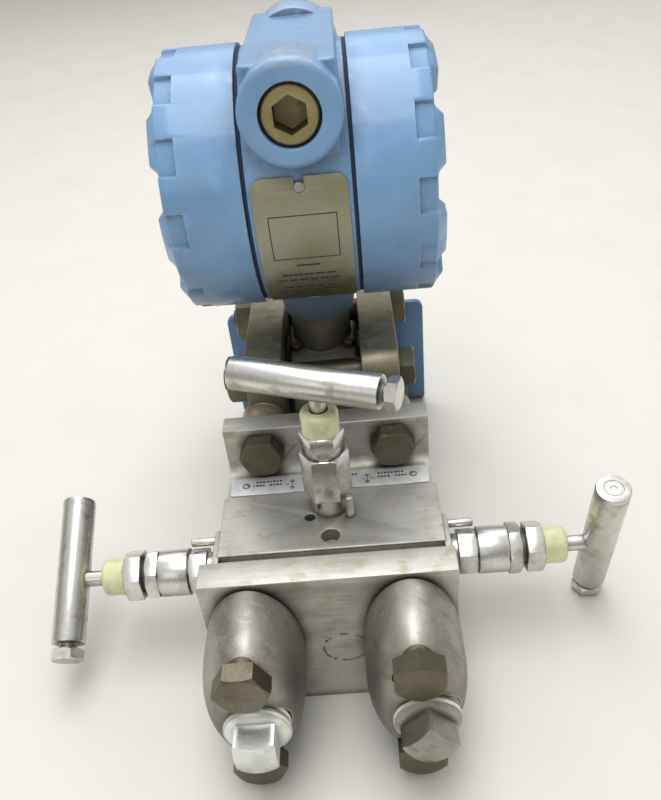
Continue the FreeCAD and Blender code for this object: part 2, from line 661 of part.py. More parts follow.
adapter_back = front_face + S.gasket_gap
for name, side in SIDES:
    adapter = body(f"{name}_flange_adapter", (side * S.port_half_pitch, -adapter_back, S.port_height), "-Y")
    # local X runs along the world X or against it, local Y up or down; the outline is symmetrical
    shape = sketch(adapter)
    shape.addGeometry(Part.Ellipse(Vector(0, S.adapter_half_height.value, 0),
                                   Vector(S.adapter_half_width.value, 0, 0), Vector(0, 0, 0)), False)
    shape.exposeInternalGeometry(0)
    shape.addConstraint(Sketcher.Constraint("Coincident", 0, 3, -1, 1))
    shape.addConstraint(Sketcher.Constraint("PointOnObject", 1, 1, -2))
    _constrain(shape, "Distance", S.adapter_half_height * 2, 1)
    _constrain(shape, "Distance", S.adapter_half_width * 2, 2)
    pad(adapter, shape, S.adapter_depth)
    soften(adapter, lambda e: near(centre(e).z, S.adapter_depth), S.adapter_round)
    for level in (-1, 1):
        bar(adapter, S.spot_face_radius + 0.1, (0, level * S.port_bolt_rise, S.adapter_bolt_seat), 20, cut=True)
        bar(adapter, S.bolt_radius + S.hole_clearance, (0, level * S.port_bolt_rise, -1),
            S.adapter_depth, cut=True)
    local_offset = S.adapter_offset * (1 if TURN["-Y"].multVec(X).x > 0 else -1)
    bar(adapter, S.pipe_radius + S.thread_fit, (local_offset, 0, S.adapter_passage), S.adapter_depth, cut=True)
    bar(adapter, S.port_bore + 1.5, (0, 0, -1), S.adapter_passage + 2, cut=True)
RIGHT_HEAD_TURN = 30
adapter_bolt = hex_bolt("adapter_bolt", S.adapter_bolt_seat + S.gasket_gap + S.front_flange_thick - 1)
group("adapter_bolts", adapter_bolt, [
    ((side * S.port_half_pitch, -adapter_back - S.adapter_bolt_seat, level), "-Y", RIGHT_HEAD_TURN * (side > 0))
    for side in (-1, 1) for level in BOLT_LEVELS])


def pipe_plug(label, side, spin):
    mouth = adapter_back + S.adapter_depth
    made = body(label, (side * S.port_half_pitch + S.adapter_offset, -mouth, S.port_height), "-Y", spin)
    bar(made, S.pipe_radius, (0, 0, -S.plug_engaged), S.plug_collar + S.plug_engaged)
    soften(made, lambda e: near(centre(e).z, S.plug_collar), 1.0, "Chamfer")
    head = S.plug_square / 2
    block(made, (-head, -head, 0), (head, head, S.plug_collar + S.plug_head))
    soften(made, lambda e: near(centre(e).z, S.plug_collar + S.plug_head), 1.2, "Chamfer")
    return made


LEFT_PLUG_TURN, RIGHT_PLUG_TURN = 0, 45
pipe_plug("left_pipe_plug", -1, LEFT_PLUG_TURN)
pipe_plug("right_pipe_plug", 1, RIGHT_PLUG_TURN)
tape = body("thread_tape_ring", export=False)
revolve(tape, [(S.pipe_radius + 0.02, 0.02), (S.pipe_radius + 0.5, 0.02), (S.pipe_radius + 0.35, 1.3),
               (S.pipe_radius + 0.02, 1.5)])
group("thread_tape", tape, [
    ((side * S.port_half_pitch + S.adapter_offset, -adapter_back - S.adapter_depth, S.port_height), "-Y", 0)
    for side in (-1, 1)])


# ---------------------------------------------------------------- valves
def valve(name, at, axis, seat, lift, axis_height, bar_turn, top=False):
    """One screw valve: fixed bonnet parts, a sliding needle, and a stem with its handle."""
    lead = S.side_pad_thick if not top else size(0)
    bonnet = body(f"{name}_bonnet", at, axis)
    bar(bonnet, S.bonnet_thread, (0, 0, lead - seat), seat + S.neck_height)
    if top:
        bar(bonnet, S.top_base_radius, (0, 0, 0), S.top_base_height)
        hexagon(bonnet, S.top_hex_flats, (0, 0, S.top_base_height), S.top_hex_end - S.top_base_height)
        chamfer_hex(bonnet, S.top_hex_flats, S.top_base_height, S.top_hex_end)
    else:
        hexagon(bonnet, S.hex_flats, (0, 0, lead + S.neck_height), S.hex_height)
        chamfer_hex(bonnet, S.hex_flats, lead + S.neck_height, lead + S.neck_height + S.hex_height)
        bar(bonnet, S.barrel_radius, (0, 0, lead + S.neck_height + S.hex_height),
            S.barrel_end - lead - S.neck_height - S.hex_height)
    bar(bonnet, S.spigot_radius, (0, 0, S.spigot_start), S.spigot_end - S.spigot_start)
    bar(bonnet, S.bonnet_bore, (0, 0, lead - seat - 1), S.spigot_end - lead + seat - S.packing_height - 3,
        cut=True)
    bar(bonnet, S.stem_radius + S.stem_fit, (0, 0, 10), S.spigot_end, cut=True)
    bar(bonnet, S.bonnet_bore + 0.9, (0, 0, S.spigot_end - S.packing_height), 5, cut=True)

    gland = body(f"{name}_gland_nut", at, axis)
    start = S.gland_start + (size(1) if top else size(0))
    gland_flats = S.hex_flats - 0.6 if top else S.lock_nut_flats
    hexagon(gland, gland_flats, (0, 0, start), S.gland_height, spin=0)
    chamfer_hex(gland, gland_flats, start, start + S.gland_height)
    bar(gland, S.spigot_radius + S.thread_fit, (0, 0, start - 1), S.spigot_end + 0.05 - start + 1, cut=True)
    bar(gland, S.stem_radius + S.stem_fit, (0, 0, start - 1), S.gland_height + 2, cut=True)

    cap = body(f"{name}_dust_cap", at, axis)
    top_face = start + S.gland_height
    revolve(cap, [(S.stem_radius + S.stem_fit + 0.5, top_face + S.cap_height - S.cap_wall),
                  (S.stem_radius + S.stem_fit + 0.5, top_face + S.cap_height),
                  (S.cap_radius - 1.6, top_face + S.cap_height), (S.cap_radius, top_face + S.cap_height - 1.8),
                  (S.cap_radius, top_face + 0.02), (S.cap_radius - S.cap_wall, top_face + 0.02),
                  (S.cap_radius - S.cap_wall, top_face + S.cap_height - S.cap_wall)])

    needle = body(f"{name}_needle", at, axis)
    tip = lead - seat - S.seat_entry + lift
    revolve(needle, [(0, tip - 0.8), (0.6, tip - 0.8), (S.seat_radius + 1.2, tip + 3.4),
                     (S.seat_radius + 1.2, tip + S.needle_length), (0, tip + S.needle_length)])
    stem = body(f"{name}_stem", at, axis)
    revolve(stem, [(0, tip + S.needle_length + 0.02), (S.bonnet_bore - S.stem_fit, tip + S.needle_length + 0.02),
                   (S.bonnet_bore - S.stem_fit, tip + S.needle_length + 6.5),
                   (S.stem_radius, tip + S.needle_length + 7.5), (S.stem_radius, axis_height - 0.6),
                   (0, axis_height - 0.6)])

    turn = TURN[axis].multiply(Rotation(Vector(0, 0, 1), bar_turn)).multiply(
        Rotation(Vector(0, 0, 1), Vector(1, 0, 0)))
    hub = [c + d * axis_height for c, d in zip((size(a) for a in at), TURN[axis].multVec(Vector(0, 0, 1)))]
    handle = body(f"{name}_handle_bar", hub, turn)
    bar(handle, S.bar_radius, (0, 0, -S.bar_long), S.bar_long + S.bar_short)
    soften(handle, lambda e: near(centre(e).z, -S.bar_long) and e.Closed, 0.7, "Chamfer")
    bar(handle, S.stem_radius + 0.02, (0, 0, 0), S.bar_radius + 1, spoke(turn, axis), cut=True)
    bar(handle, 3.42, (0, 0, 5), S.bar_short, cut=True)
    screw = body(f"{name}_handle_screw", hub, turn)
    bar(screw, 3.4, (0, 0, 5.5), S.bar_short - 5)
    bar(screw, 3.4, (0, 0, S.bar_short - 1), S.bar_screw_neck + 2)
    hexagon(screw, S.bar_screw_flats, (0, 0, S.bar_short + S.bar_screw_neck), S.bar_screw_head)
    chamfer_hex(screw, S.bar_screw_flats, S.bar_short + S.bar_screw_neck - 3,
                S.bar_short + S.bar_screw_neck + S.bar_screw_head)


def chamfer_hex(of_body, flats, low, high):
    """Take the corners off a hex's outer face, as a turned chamfer."""
    flats = size(flats)
    revolve(of_body, [(flats * 0.485, high + 0.1), (flats * 0.62, high + 0.1), (flats * 0.62, high - 1.2)],
            cut=True)


def spoke(turn, axis):
    """Turn, in the bar's own frame, from its Z to the direction back down the stem."""
    down = TURN[axis].multVec(Vector(0, 0, -1))
    return Rotation(Vector(0, 0, 1), turn.inverted().multVec(down))


LEFT_SEAT = (-S.valve_block_half, -S.side_valve_set, S.port_height)
RIGHT_SEAT = (S.valve_block_half, -S.side_valve_set, S.port_height)
TOP_SEAT = (0, -S.top_valve_set, web_top)
LEFT_BAR_TURN, RIGHT_BAR_TURN, TOP_BAR_TURN = -115, 8, -18.5
valve("left_valve", LEFT_SEAT, "-X", S.bonnet_seat, S.block_lift, S.block_bar_height, LEFT_BAR_TURN)
valve("right_valve", RIGHT_SEAT, "X", S.bonnet_seat, S.block_lift, S.block_bar_height, RIGHT_BAR_TURN)
valve("equalizing_valve", TOP_SEAT, "Z", top_seat, S.top_lift, S.top_bar_height, TOP_BAR_TURN, top=True)

lock_nut = body("lock_nut", export=False)
hexagon(lock_nut, S.lock_nut_flats, (0, 0, S.barrel_end + 0.02), S.lock_nut_height, spin=12)
chamfer_hex(lock_nut, S.lock_nut_flats, S.barrel_end, S.barrel_end + S.lock_nut_height)
bar(lock_nut, S.spigot_radius + S.thread_fit, (0, 0, S.barrel_end - 1), S.lock_nut_height + 2, cut=True)
group("bonnet_lock_nuts", lock_nut, [(LEFT_SEAT, "-X", 0), (RIGHT_SEAT, "X", 0)])

packing = body("packing", export=False)
revolve(packing, [(S.stem_radius + S.stem_fit, S.spigot_end - S.packing_height),
                  (S.bonnet_bore + 0.8, S.spigot_end - S.packing_height),
                  (S.bonnet_bore + 0.8, S.spigot_end), (S.stem_radius + S.stem_fit, S.spigot_end)])
group("stem_packings", packing, [(LEFT_SEAT, "-X", 0), (RIGHT_SEAT, "X", 0), (TOP_SEAT, "Z", 0)])


# ---------------------------------------------------------------- electronics housing
def around(degrees):
    """Direction to the front, square to the housing axis, so many degrees above horizontal."""
    lean = math.radians(degrees)
    return Vector(0, -math.cos(lean), math.sin(lean))


RIVET_SHANK = 1.2
PLATE_LEANS = (S.plate_top_angle.value - 4.5, S.plate_top_angle.value - S.plate_sweep.value + 5.0)
PLATE_RIVETS = [around(lean) for lean in PLATE_LEANS]


def housing_body():
    made = body("housing_body", (0, S.centre_set, S.housing_height))
    bar(made, S.housing_radius, (-S.housing_half, 0, 0), S.housing_half * 2, "X")
    block(made, (-S.pad_half, -S.pad_reach, 14), (S.pad_half, S.pad_reach, S.pad_rise))
    soften(made, lambda e: runs_along(e, Z) and near(abs(centre(e).x), S.pad_half), 2.5)
    soften(made, lambda e: near(centre(e).z, S.pad_rise) and e.Length > 5, 1.2)
    throat = S.cover_radius - S.cover_wall - 0.1
    bar(made, throat, (-S.throat_reach, 0, 0), S.throat_reach * 2, "X")
    for axis, side in (("-Y", -1), ("Y", 1)):
        bar(made, S.conduit_boss, (0, side * (S.pad_reach - 14), S.conduit_rise),
            S.conduit_reach - S.pad_reach + 14, axis)
    soften(made, lambda e: near(abs(centre(e).y), S.conduit_reach), 2.6)
    foot = S.foot_half
    solid(made, "AdditiveCone", (0, 0, -S.foot_drop), Radius1=foot - 2.2, Radius2=foot + 1.5, Height=20)
    chamber = throat - S.throat_wall
    for axis, side in (("X", 1), ("-X", -1)):
        bar(made, chamber, (side * S.bulkhead_half, 0, 0), S.throat_reach, axis, cut=True)
    for axis, side in (("-Y", -1), ("Y", 1)):
        bar(made, S.pipe_radius + S.thread_fit, (0, side * (S.conduit_reach - S.conduit_thread),
            S.conduit_rise), S.conduit_thread + 1, axis, cut=True)
        bar(made, S.conduit_passage, (0, side * S.conduit_passage, S.conduit_rise),
            S.conduit_reach - S.conduit_thread, axis, cut=True)
    bar(made, S.sensor_neck + S.thread_fit, (0, 0, -S.foot_drop - 1), 10 + 0.05, cut=True)
    bar(made, S.wire_passage, (0, 0, -S.foot_drop), S.foot_drop - chamber + 10, cut=True)
    for direction in PLATE_RIVETS:
        bar(made, RIVET_SHANK + 0.05, [c * (S.housing_radius + 1) for c in direction], 6,
            Rotation(Z, direction * -1), cut=True)
    return made


housing_body()
for name, side in SIDES:
    axis = "X" if side > 0 else "-X"
    skirt = S.cover_radius - S.cover_wall
    mouth = S.housing_half + S.cover_gap
    cover = body(f"{name}_cover", (0, S.centre_set, S.housing_height), axis, 7)
    inside = S.cover_end - S.cover_wall
    revolve(cover, [(0, inside), (skirt - 3, inside), (skirt, inside - 3), (skirt, mouth),
                    (S.cover_radius - 0.6, mouth), (S.cover_radius, mouth + 0.6),
                    (S.cover_radius, S.cover_end - S.cover_chamfer),
                    (S.cover_radius - S.cover_chamfer * 1.2, S.cover_end), (0, S.cover_end)])
    notch = solid(cover, "SubtractiveBox",
                  (S.cover_radius - S.notch_depth, -S.notch_width / 2, S.cover_end - S.notch_length),
                  Length=6, Width=S.notch_width, Height=10)
    turns = cover.newObject("PartDesign::PolarPattern", "Notches")
    turns.Originals = [notch]
    turns.Axis = ([f for f in cover.Origin.OriginFeatures if f.Role == "Z_Axis"][0], [""])
    turns.Angle = 360
    turns.Occurrences = 12
    cover.Tip = turns
    seal = body(f"{name}_cover_seal", (0, S.centre_set, S.housing_height), axis)
    revolve(seal, [(skirt - 0.04, S.housing_half + 0.02), (S.housing_radius - 0.6, S.housing_half + 0.02),
                   (S.housing_radius - 0.2, S.housing_half + 0.5), (S.housing_radius - 0.6, mouth - 0.02),
                   (skirt - 0.04, mouth - 0.02)])

conduit_plug = body("conduit_plug", (0, S.centre_set - S.conduit_reach + S.conduit_plug_drop,
                                     S.housing_height + S.conduit_rise), "-Y")
bar(conduit_plug, S.pipe_radius, (0, 0, -14), 14)
soften(conduit_plug, lambda e: near(centre(e).z, 0), 1.3, "Chamfer")
hexagon(conduit_plug, S.conduit_hex, (0, 0, -7.5), 8, cut=True, spin=30)


rivet_seat = S.housing_radius + 0.03 + S.plate_thick
plate_start = around(S.plate_top_angle.value)
nameplate = body("nameplate", (0, S.centre_set, S.housing_height),
                 Rotation(plate_start, X.cross(plate_start), X, "ZXY"))
revolve(nameplate, [(S.housing_radius + 0.03, -S.plate_half), (rivet_seat, -S.plate_half),
                    (rivet_seat, S.plate_half), (S.housing_radius + 0.03, S.plate_half)],
        angle=S.plate_sweep)
doc.recompute()
inward = nameplate.Placement.Rotation.inverted()
soften(nameplate, lambda e: e.Curve.TypeId == "Part::GeomLine"
       and abs(e.Length - S.plate_thick.value) < 0.01, S.plate_corner)
block(nameplate, (S.housing_radius - 1, -1, -S.plate_slot_half), (rivet_seat + 1, S.plate_slot, S.plate_slot_half),
      cut=True)
for spot in PLATE_RIVETS:
    direction = inward.multVec(spot)
    bar(nameplate, RIVET_SHANK + 0.05, [c * (S.housing_radius - 2) for c in direction], 6,
        Rotation(Z, direction), cut=True)
plate_rivet = body("plate_rivet", export=False)
revolve(plate_rivet, [(0, -4), (RIVET_SHANK, -4), (RIVET_SHANK, 0.02), (2.1, 0.02), (1.9, 0.6), (1.0, 1.1),
                      (0, 1.2)])
group("nameplate_rivets", plate_rivet, [
    ((d.x * rivet_seat, S.centre_set + d.y * rivet_seat, S.housing_height + d.z * rivet_seat),
     Rotation(Z, d), 0) for d in PLATE_RIVETS])

# ---------------------------------------------------------------- inside the housing
chamber_radius = S.cover_radius - S.cover_wall - 0.1 - S.throat_wall
terminal_block = body("terminal_block", (-S.bulkhead_half, S.centre_set, S.housing_height), "-X")
bar(terminal_block, chamber_radius - S.terminal_clear, (0, 0, 0.02), 9)
block(terminal_block, (-9, -24, 5), (9, 24, 15))
soften(terminal_block, lambda e: near(centre(e).z, 15), 1.0)
TERMINALS = (-16, 0, 16)
for y in TERMINALS:
    bar(terminal_block, 1.6, (0, y, 4), 12, cut=True)
terminal_screw = body("terminal_screw", export=False)
revolve(terminal_screw, [(0, -9), (1.55, -9), (1.55, 0.02), (4.2, 0.02), (4.2, 2.2), (3.2, 3), (0, 3)])
block(terminal_screw, (-5, -0.5, 1.7), (5, 0.5, 4), cut=True)
group("terminal_screws", terminal_screw, [
    ((-S.bulkhead_half - 15, S.centre_set + y, S.housing_height), "-X", 0) for y in TERMINALS])
BOARD_LEVELS = (12, 24)
post_ring = chamber_radius - S.post_set
for index, level in enumerate(BOARD_LEVELS):
    board = body(("amplifier_board", "calibration_board")[index],
                 (S.bulkhead_half + level, S.centre_set, S.housing_height), "X")
    bar(board, chamber_radius - S.board_clear, (0, 0, 0), 1.6)
    for k in range(3):
        spot = Rotation(Z, 30 + 120 * k).multVec(X)
        bar(board, 1.7, (post_ring * spot.x, post_ring * spot.y, -1), 4, cut=True)
    chips = ((-14, 8, 9, 14), (4, -12, 16, 8), (8, 8, 7, 7)) if index == 0 else ((-12, -6, 10, 10), (4, 4, 12, 6))
    for x, y, wide, long in chips:
        block(board, (x, y, 1.2), (x + wide, y + long, 4.2))
post = body("board_post", export=False)
hexagon(post, 5.0, (0, 0, 0.02), BOARD_LEVELS[0] - 0.04)
hexagon(post, 5.0, (0, 0, BOARD_LEVELS[0] + 1.62), BOARD_LEVELS[1] - BOARD_LEVELS[0] - 1.64)
bar(post, 1.6, (0, 0, 5), BOARD_LEVELS[1] - 1)
bar(post, 2.6, (0, 0, BOARD_LEVELS[1] + 1.62), 1.6)
POSTS = []
for k in range(3):
    world = TURN["X"].multVec(Rotation(Z, 30 + 120 * k).multVec(X))
    POSTS.append(((S.bulkhead_half, S.centre_set + post_ring * world.y,
                   S.housing_height + post_ring * world.z), "X", 0))
group("board_posts", post, POSTS)

# ---------------------------------------------------------------- mounting bracket
bracket = body("mounting_bracket")
side_view = sketch(bracket, "YZ_Plane")
rear = S.flange_back
outline(side_view, [(rear, 0), (rear + S.bracket_foot, 0), (rear + S.bracket_foot, S.bracket_thick),
                    (rear + S.bracket_thick, S.bracket_thick), (rear + S.bracket_thick, S.bracket_top),
                    (rear, S.bracket_top)])
pad(bracket, side_view, S.bracket_half * 2, both_ways=True)
soften(bracket, lambda e: runs_along(e, X) and near(centre(e).y, rear + S.bracket_thick)
       and near(centre(e).z, S.bracket_thick), S.bracket_bend)
soften(bracket, lambda e: runs_along(e, X) and near(centre(e).y, rear) and abs(centre(e).z) < 0.05,
       S.bracket_bend + S.bracket_thick)
soften(bracket, lambda e: (runs_along(e, Y) and near(centre(e).z, S.bracket_top))
       or (runs_along(e, Z) and near(centre(e).y, rear + S.bracket_foot)), 4.0)
for side in (-1, 1):
    for level in BRACKET_LEVELS:
        bar(bracket, S.bolt_radius + S.hole_clearance, (side * S.port_half_pitch, rear - 1, level),
            S.bracket_thick + 2, "Y", cut=True)
    for reach in (20, 44):
        bar(bracket, S.slot_radius, (side * S.slot_half_pitch, rear + reach, -1), S.bracket_thick + 2,
            cut=True)
bracket_bolt = hex_bolt("bracket_bolt", S.bracket_thick + 11)
group("bracket_bolts", bracket_bolt, [
    ((side * S.port_half_pitch, rear + S.bracket_thick, level), "Y", 0)
    for side in (-1, 1) for level in BRACKET_LEVELS])

# ---------------------------------------------------------------- check and write
doc.recompute()
broken = [obj for obj in doc.Objects if any(word in obj.State for word in ("Invalid", "Error"))]
if broken:
    raise RuntimeError("did not build: " + ", ".join(
        f"{obj.Label} in {obj.getParentGeoFeatureGroup().Label if obj.getParentGeoFeatureGroup() else '-'}"
        for obj in broken))
os.makedirs("parts", exist_ok=True)
for sub_part in EXPORTS:
    shape = sub_part.Shape
    if shape.isNull() or not shape.isValid():
        raise RuntimeError(f"{sub_part.Label} has no valid shape")
    shape.exportStep(f"parts/{sub_part.Label}.step")
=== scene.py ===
"""Finishes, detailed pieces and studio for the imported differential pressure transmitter."""

import json
import math

import bmesh
import bpy
import numpy as np
from mathutils import Matrix, Vector, noise


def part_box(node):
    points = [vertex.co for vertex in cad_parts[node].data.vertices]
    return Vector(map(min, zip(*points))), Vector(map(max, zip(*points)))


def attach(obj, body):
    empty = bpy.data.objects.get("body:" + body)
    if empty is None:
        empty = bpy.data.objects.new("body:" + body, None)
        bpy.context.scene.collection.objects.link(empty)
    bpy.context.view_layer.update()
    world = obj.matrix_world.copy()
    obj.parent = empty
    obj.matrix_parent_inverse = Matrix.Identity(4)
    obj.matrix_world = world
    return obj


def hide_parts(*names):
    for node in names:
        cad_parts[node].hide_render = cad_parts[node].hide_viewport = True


bl_info = {
    "name": "Differential pressure transmitter",
    "version": (1, 0, 0),
    "blender": (4, 5, 0),
    "location": "View3D > Sidebar > Transmitter",
    "description": "Dresses the transmitter's frame with finishes, machined and cast detail and a studio",
    "category": "Add Mesh",
}

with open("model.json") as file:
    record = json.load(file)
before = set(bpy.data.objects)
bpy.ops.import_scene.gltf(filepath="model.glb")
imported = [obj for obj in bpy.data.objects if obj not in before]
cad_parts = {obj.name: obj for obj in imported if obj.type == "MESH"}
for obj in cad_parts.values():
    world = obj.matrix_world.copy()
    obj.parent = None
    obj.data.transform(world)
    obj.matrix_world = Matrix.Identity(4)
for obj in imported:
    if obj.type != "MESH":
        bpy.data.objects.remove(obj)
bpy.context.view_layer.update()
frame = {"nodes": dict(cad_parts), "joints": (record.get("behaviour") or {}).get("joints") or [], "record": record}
NODES = frame["nodes"]
JOINTS = {joint["name"]: joint for joint in frame["joints"]}
SLOTS = {part["node"]: part["material_slot"] for part in frame["record"]["subparts"]}
BODY = {node: body for body, members in frame["record"]["behaviour"]["bodies"].items() for node in members}

MM = 0.001
X, Y, Z = Vector((1, 0, 0)), Vector((0, 1, 0)), Vector((0, 0, 1))
VALVES = ("left_valve", "right_valve", "equalizing_valve")
SIDES = {"left": -1, "right": 1}


# ---------------------------------------------------------------- sizes and colours
def length(label, note, millimetres):
    return bpy.props.FloatProperty(name=label, description=note, default=millimetres * MM, subtype="DISTANCE",
                                   unit="LENGTH", precision=5)


def tint(label, note, colour):
    return bpy.props.FloatVectorProperty(name=label, description=note, default=colour, subtype="COLOR",
                                         size=3, min=0, max=1)


class TransmitterSizes(bpy.types.PropertyGroup):
    casting_edge: length("Casting edge", "Rounding of the cast edges", 0.5)
    machined_edge: length("Machined edge", "Broken edge of the milled blocks", 0.3)
    sheet_edge: length("Sheet edge", "Rounding of plates and thin parts", 0.12)
    hex_chamfer: bpy.props.FloatProperty(name="Hex chamfer", description="Slope of the chamfer on hex corners",
                                         default=math.radians(30), subtype="ANGLE")
    bolt_pitch: length("Bolt pitch", "Thread pitch of the 7/16 inch bolts", 1.814)
    pipe_pitch: length("Pipe pitch", "Thread pitch of the half inch pipe plugs", 1.814)
    adapter_straight: length("Adapter wall", "Straight wall of a flange adapter before its dome", 12.0)


class TransmitterColours(bpy.types.PropertyGroup):
    housing: tint("Housing paint", "Blue enamel of housing and covers", (0.195, 0.382, 0.655))
    bracket: tint("Bracket paint", "Blue enamel of the bracket", (0.085, 0.215, 0.420))
    milled: tint("Milled steel", "Stainless manifold block", (0.570, 0.555, 0.515))
    turned: tint("Turned steel", "Polished valve parts and handles", (0.720, 0.710, 0.680))
    cast: tint("Cast flange", "Process flanges", (0.380, 0.345, 0.250))
    pewter: tint("Adapter casting", "Flange adapters", (0.430, 0.410, 0.370))
    zinc: tint("Yellow zinc", "Bolts and nuts", (0.175, 0.160, 0.118))
    cap: tint("Dust cap", "Yellow-green plastic caps", (0.880, 0.860, 0.520))
    # This colour is painted as shade in corners and gaps and towards the housing's foot, and as specks of dirt on
    # the nameplate.
    shade_and_dirt: tint("Grime", "Dirt in the corners", (0.050, 0.045, 0.032))
    floor: tint("Floor", "Pale studio floor", (0.780, 0.760, 0.710))


# ---------------------------------------------------------------- shader building
# first colour or number socket, and result socket, of a Mix node
MIX_SOCKETS = {"RGBA": (6, 2), "FLOAT": (2, 0)}


class Shader:
    """One material: surface detail is mixed in layers over a Principled surface."""

    def __init__(self, name, colour, roughness, metallic=0.0, **fixed):
        self.material = bpy.data.materials.new(name)
        self.material.use_nodes = True
        self.tree = self.material.node_tree
        self.surface = self.tree.nodes["Principled BSDF"]
        self.colour = tuple(colour) + (1.0,)
        self.roughness = roughness
        self.surface.inputs["Metallic"].default_value = metallic
        for socket, value in fixed.items():
            self.surface.inputs[socket.replace("_", " ")].default_value = value
        self.place = self.node("TexCoord").outputs["Object"]
        self.normal = None

    def node(self, kind, settings=(), **sockets):
        made = self.tree.nodes.new("ShaderNode" + kind)
        for key, value in dict(settings).items():
            setattr(made, key, value)
        for key, value in sockets.items():
            self.feed(made.inputs[key.replace("_", " ")], value)
        return made

    def feed(self, socket, value):
        if isinstance(value, bpy.types.NodeSocket):
            self.tree.links.new(value, socket)
        else:
            socket.default_value = value

    def calc(self, operation, first, second=0.0):
        made = self.node("Math", {"operation": operation, "use_clamp": operation != "SUBTRACT"})
        self.feed(made.inputs[0], first)
        self.feed(made.inputs[1], second)
        return made.outputs[0]

    def noise(self, size_mm, detail=3.0, stretch=None, rough=0.55):
        vector = self.node("Mapping", Vector=self.place, Scale=stretch).outputs[0] if stretch else self.place
        made = self.node("TexNoise", Vector=vector, Scale=1 / (size_mm * MM), Detail=detail, Roughness=rough)
        return made.outputs["Fac"]

    def band(self, value, low, high):
        """0 below low, 1 above high; low may be the larger."""
        made = self.node("MapRange", {"interpolation_type": "SMOOTHSTEP"}, Value=value, From_Min=low, From_Max=high)
        return made.outputs["Result"]

    def spots(self, size_mm, low, high, detail=3.0):
        """1 in soft patches of about size_mm, 0 between them."""
        return self.band(self.noise(size_mm, detail), low, high)

    def both(self, first, second):
        """1 where both masks are 1."""
        return self.calc("MULTIPLY", first, second)

    def height(self):
        """Height above the foot of the frame."""
        return self.node("SeparateXYZ", Vector=self.place).outputs["Z"]

    def ragged_height(self, size_mm, detail, sway_mm):
        """Height, swayed by noise."""
        return self.calc("ADD", self.height(), self.calc("MULTIPLY", self.noise(size_mm, detail), sway_mm * MM))

    def edge(self, width_mm, low=0.02, high=0.22):
        """1 along edges, from the turn between the flat normal and a rounded one."""
        rounded = self.node("Bevel", {"samples": 4}, Radius=width_mm * MM).outputs[0]
        flat = self.node("NewGeometry").outputs["Normal"]
        turn = self.node("VectorMath", {"operation": "DOT_PRODUCT"})
        self.feed(turn.inputs[0], rounded)
        self.feed(turn.inputs[1], flat)
        return self.band(self.calc("SUBTRACT", 1.0, turn.outputs["Value"]), low, high)

    def shaded_underside(self, low, high):
        """1 on faces that look down, where shade is painted."""
        normal = self.node("TexCoord").outputs["Normal"]
        return self.band(self.node("SeparateXYZ", Vector=normal).outputs["Z"], low, high)

    def corner(self, reach_mm):
        """1 deep in corners and gaps, for painted shade there."""
        shade = self.node("AmbientOcclusion", {"samples": 4}, Distance=reach_mm * MM).outputs["AO"]
        return self.calc("SUBTRACT", 1.0, shade)

    def mix(self, kind, mask, under, over):
        """Blend two colours, RGBA, or two numbers, FLOAT, by a mask."""
        made = self.node("Mix", {"data_type": kind})
        first, result = MIX_SOCKETS[kind]
        for socket, value in ((0, mask), (first, under), (first + 1, over)):
            self.feed(made.inputs[socket], value)
        return made.outputs[result]

    def paint(self, mask, colour, roughness=None, share=None):
        """Lay a colour, and a roughness, over what is there by a mask, or by a share of it."""
        if share is not None:
            mask = self.calc("MULTIPLY", mask, share)
        self.colour = self.mix("RGBA", mask, self.colour, tuple(colour) + (1.0,))
        if roughness is not None:
            self.roughness = self.mix("FLOAT", mask, self.roughness, roughness)

    def raise_by(self, height, depth_mm, strength):
        """Add fine relief to the normal."""
        made = self.node("Bump", Height=height, Distance=depth_mm * MM, Strength=strength)
        if self.normal:
            self.feed(made.inputs["Normal"], self.normal)
        self.normal = made.outputs[0]

    def done(self):
        self.feed(self.surface.inputs["Base Color"], self.colour)
        self.feed(self.surface.inputs["Roughness"], self.roughness)
        if self.normal:
            self.feed(self.surface.inputs["Normal"], self.normal)
        return self.material


def scaled(colour, factor):
    return tuple(min(1.0, channel * factor) for channel in colour)


BARE_METAL, BARE_PRIMER, CHALK = (0.46, 0.47, 0.46), (0.52, 0.6, 0.66), (0.40, 0.44, 0.54)
# brown-tinted colour of the painted shade on faces that look down
UNDERSIDE_SHADE_BROWN = (0.24, 0.22, 0.15)
PAD_TOP_MM = (195.6, 196.6)


